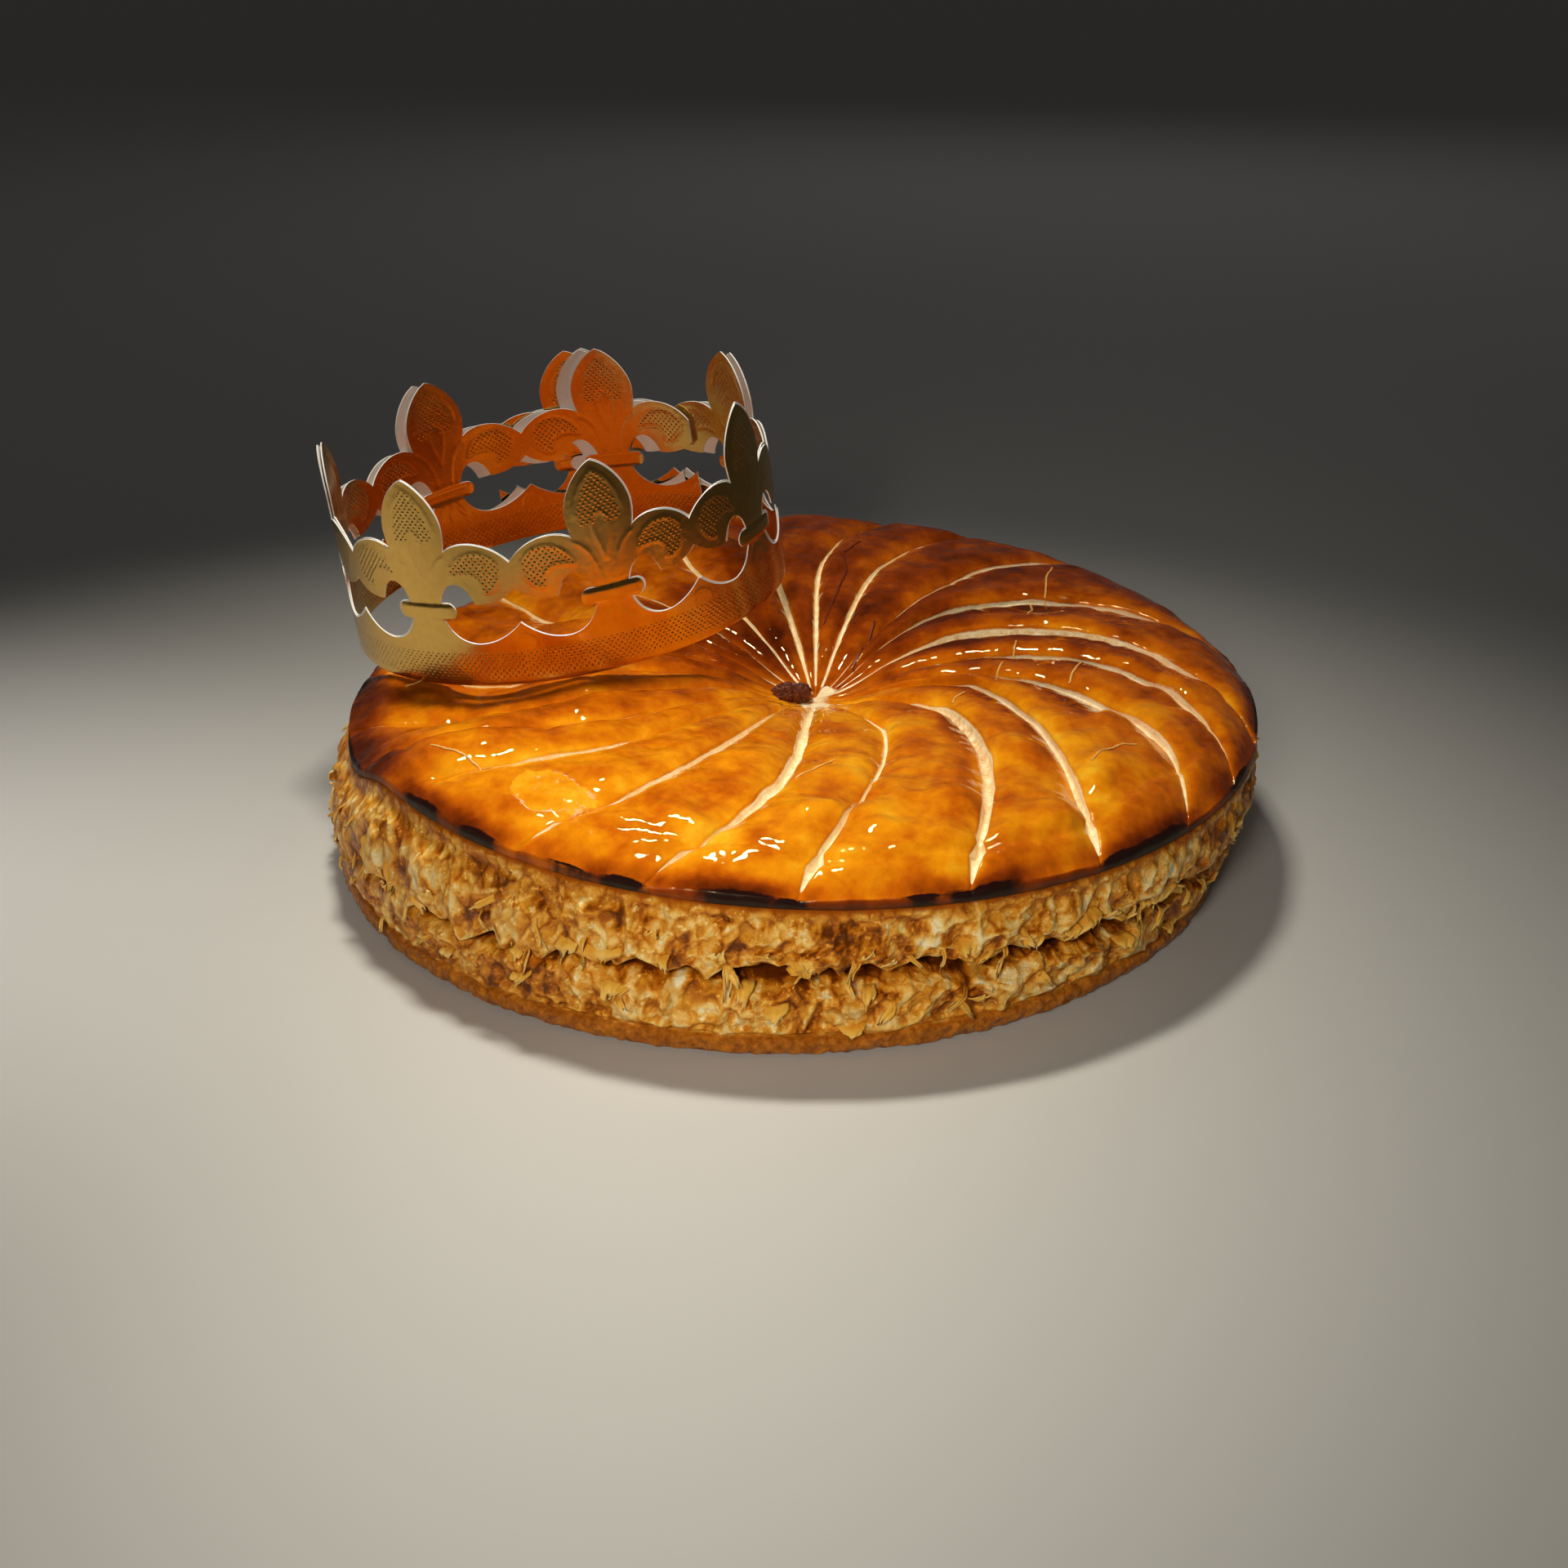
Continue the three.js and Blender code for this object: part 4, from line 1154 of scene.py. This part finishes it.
def fleur_sheet(bottom):
    """One fleur with its length of band, as flat points and triangles."""
    right = right_edge(bottom)
    left = right[1:-1][::-1] * np.array([-1, 1])
    loop = np.concatenate([right, left])
    across = np.arange(-pitch / 2, pitch / 2, mesh_size)
    rows_up = np.arange(bottom, crown_height, mesh_size * 0.87)
    grid = np.concatenate([
        np.stack([across + (i % 2) * mesh_size / 2, np.full(len(across), h)], axis=1)
        for i, h in enumerate(rows_up)
    ])
    closed = np.concatenate([loop, loop[:1]])
    grid = grid[inside_loop(grid, loop) & (distance_to(grid, closed) > 0.45 * mesh_size)]
    points = np.concatenate([loop, grid])
    edges = [(i, (i + 1) % len(loop)) for i in range(len(loop))]
    result = delaunay_2d_cdt([Vector(p) for p in points], edges, [], 0, 1e-5)
    flat = np.array([tuple(p) for p in result[0]])
    triangles = np.array([f for f in result[2] if len(f) == 3])
    middle = flat[triangles].mean(axis=1)
    return flat, triangles[inside_loop(middle, loop)]


def stamped(flat):
    """Height of the stamped lines in mm and the mask of the dotted fields, for one fleur."""
    mirrored = np.stack([np.abs(flat[:, 0]), flat[:, 1]], axis=1)
    petal = np.concatenate([[(6.9, 43)], bezier((6.9, 43), (6.8, 47.5), (3.4, 52), (0, 54), 12)])
    drop = np.concatenate([[(0, 30.5)], bezier((0, 30.5), (1.4, 36), (4.4, 41.5), (0, 43.2), 14)])
    comma = np.concatenate([[(9.2, 30.5)],
                            bezier((9.2, 30.5), (10.5, 37.5), (20.5, 39), (23.4, 33.2), 16),
                            bezier((23.4, 33.2), (24.6, 29), (20, 24.6), (17.6, 26.4), 10),
                            bezier((17.6, 26.4), (19.4, 31), (13.6, 32.6), (9.2, 30.5), 10)])
    stem = np.concatenate([[(8.2, 36)], bezier((8.2, 36), (4.6, 34.5), (2.8, 30), (2.3, 24.4), 10)])
    rays = [np.array([(0, 17.6), (0, 12.6)]), np.array([(2.2, 17.4), (4.6, 13.4)])]
    turn = np.linspace(0, math.pi, 10)
    arch = np.stack([pitch / 2 + 3.2 * np.cos(turn), 10.6 + 3 * np.sin(turn)], axis=1)
    relief = np.zeros(len(flat))
    stamps = [(petal, 0.45, 0.1), (drop, 0.45, 0.12), (comma, 0.45, 0.11), (stem, 0.45, 0.12),
              (rays[0], 0.4, -0.14), (rays[1], 0.4, -0.14), (arch, 0.4, 0.1)]
    for line, line_width, line_height in stamps:
        relief += line_height * np.exp(-(distance_to(mirrored, line) / line_width) ** 2)
    aside, up = mirrored.T
    relief += 0.3 * (1 - smooth(7.4, 9, aside)) * plateau(up, 18.4, 19.2, 22.2, 23)
    milled = (aside < 5) * (np.cos(2 * np.pi * aside / 1.7) > -0.2)
    relief -= 0.12 * np.exp(-((up - 23.5) / 0.45) ** 2) * milled
    petal_field = (aside < 5.8 * np.sqrt(clamp01((53.5 - up) / 10))) & (aside > 0.5 * (44 - up))
    petal_field &= up > 40
    lobe_field = inside_loop(mirrored, comma)
    band_field = (up > 1.5) & (up < 9)
    return relief, np.where(petal_field | lobe_field, 1.0, np.where(band_field, 0.75, 0.0))


def strip_angle(distance):
    """Angle round the ring of a place along the strip; the fleurs drift a little."""
    even = first_fleur_at + distance / crown_radius
    return even + fleur_drift * np.cos(even + drift_from)


def on_crown(distance, height, out):
    """A point of the crown in mm: along the strip, up it, and out from the middle of the card."""
    around = strip_angle(distance)
    oval = 1 - crown_oval * np.cos(2 * (around - crown_oval_at))
    spiral = overlap_step * (distance + 3.5 * pitch) / (fleurs * pitch)
    ring_radius = crown_radius * oval - crown_taper * height + spiral + out
    points = np.stack([ring_radius * np.sin(around), -ring_radius * np.cos(around), height], axis=1)
    lean = np.array(Matrix.Rotation(crown_lean[0], 3, "X") @ Matrix.Rotation(crown_lean[1], 3, "Y"))
    return points @ lean.T + np.array(crown_centre)


# The gap between the plies where they part above the fold, in mm
ply_gap = rounded([(0, fold_gap), (8, 0.6), (20, 0.9), (40, 1.2), (57, 1.3)], 2)


def card_ply(name, outer):
    """One ply of the strip: eight fleurs, gold on the side that shows and white elsewhere."""
    flat, triangles = fleur_sheet(-fold_length if outer else 0.0)
    if not outer:
        triangles = triangles[:, ::-1]
    relief, dotted = stamped(flat)
    height = np.maximum(flat[:, 1], 0)
    gap = 0.5 * ply_gap(height)
    out = (gap if outer else -gap) + 0.8 * relief
    if outer:
        bent = clamp01(-flat[:, 1] / fold_length) * math.pi
        out = out - fold_gap * 0.5 * (1 - np.cos(bent))
        height = np.where(flat[:, 1] < 0, -fold_drop * np.sin(bent), height)
    points, faces = [], []
    for number in range(fleurs + 1):
        distance = flat[:, 0] + (number - 3) * pitch
        if not outer:
            distance = 0.5 * pitch + (distance - 0.5 * pitch) * inner_creep
        points.append(on_crown(distance, height, out))
        faces.append(triangles + number * len(flat))
    ply = thin_piece(name, np.concatenate(points), np.concatenate(faces),
                     {"dotted": np.tile(dotted, fleurs + 1)})
    layer = ply.data.uv_layers.new(name="strip")
    corners = np.empty(len(ply.data.loops), int)
    ply.data.loops.foreach_get("vertex_index", corners)
    strip_place = np.tile(flat / 60 + 0.5, (fleurs + 1, 1))
    layer.data.foreach_set("uv", strip_place[corners].astype(np.float32).ravel())
    mend(ply, join_within=2e-5, face_out=False)
    ply.data.materials.append(gold_foil)
    ply.data.materials.append(white_card)
    thicken(ply, card_thickness, -1, material_offset=1, material_offset_rim=1)
    bpy.ops.object.shade_smooth_by_angle(angle=math.radians(40))
    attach(ply, "root")
    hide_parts("crown")


gold_foil, tree, shader = new_material("gold_foil")
strip_uv = add_node(tree, "ShaderNodeUVMap", {"uv_map": "strip"}).outputs["UV"]
turned_uv = add_node(tree, "ShaderNodeMapping", Vector=strip_uv, Rotation=(0, 0, math.radians(45)),
                     Scale=(50, 50, 50)).outputs[0]
from_dot = add_node(tree, "ShaderNodeTexVoronoi", Vector=turned_uv, Scale=1.0, Randomness=0.12)
dots = mask_between(tree, from_dot.outputs[0], 0.36, 0.05)
dots = math_node(tree, "MULTIPLY", dots, mask_of(tree, "dotted"))
rubbed = noise(tree, strip_uv, 30.0, 4.0)
foil_colour = mix_colours(tree, rubbed, linear(212, 164, 78), linear(232, 188, 102))
stamping = total(tree, dots, (rubbed, 0.3))
set_inputs(shader, Base_Color=foil_colour, Metallic=1.0, Roughness=0.2,
           Normal=bump(tree, stamping, 0.7, 0.00022))

white_card, tree, shader = new_material("white_card")
spots = add_mottle(tree, 80, 900, 900)
card_colour = mix_colours(tree, spots["Grain"], linear(244, 241, 235), linear(252, 250, 247))
set_inputs(shader, Base_Color=card_colour, Roughness=0.75)

card_ply("crown_outer_ply", outer=True)
card_ply("crown_inner_ply", outer=False)
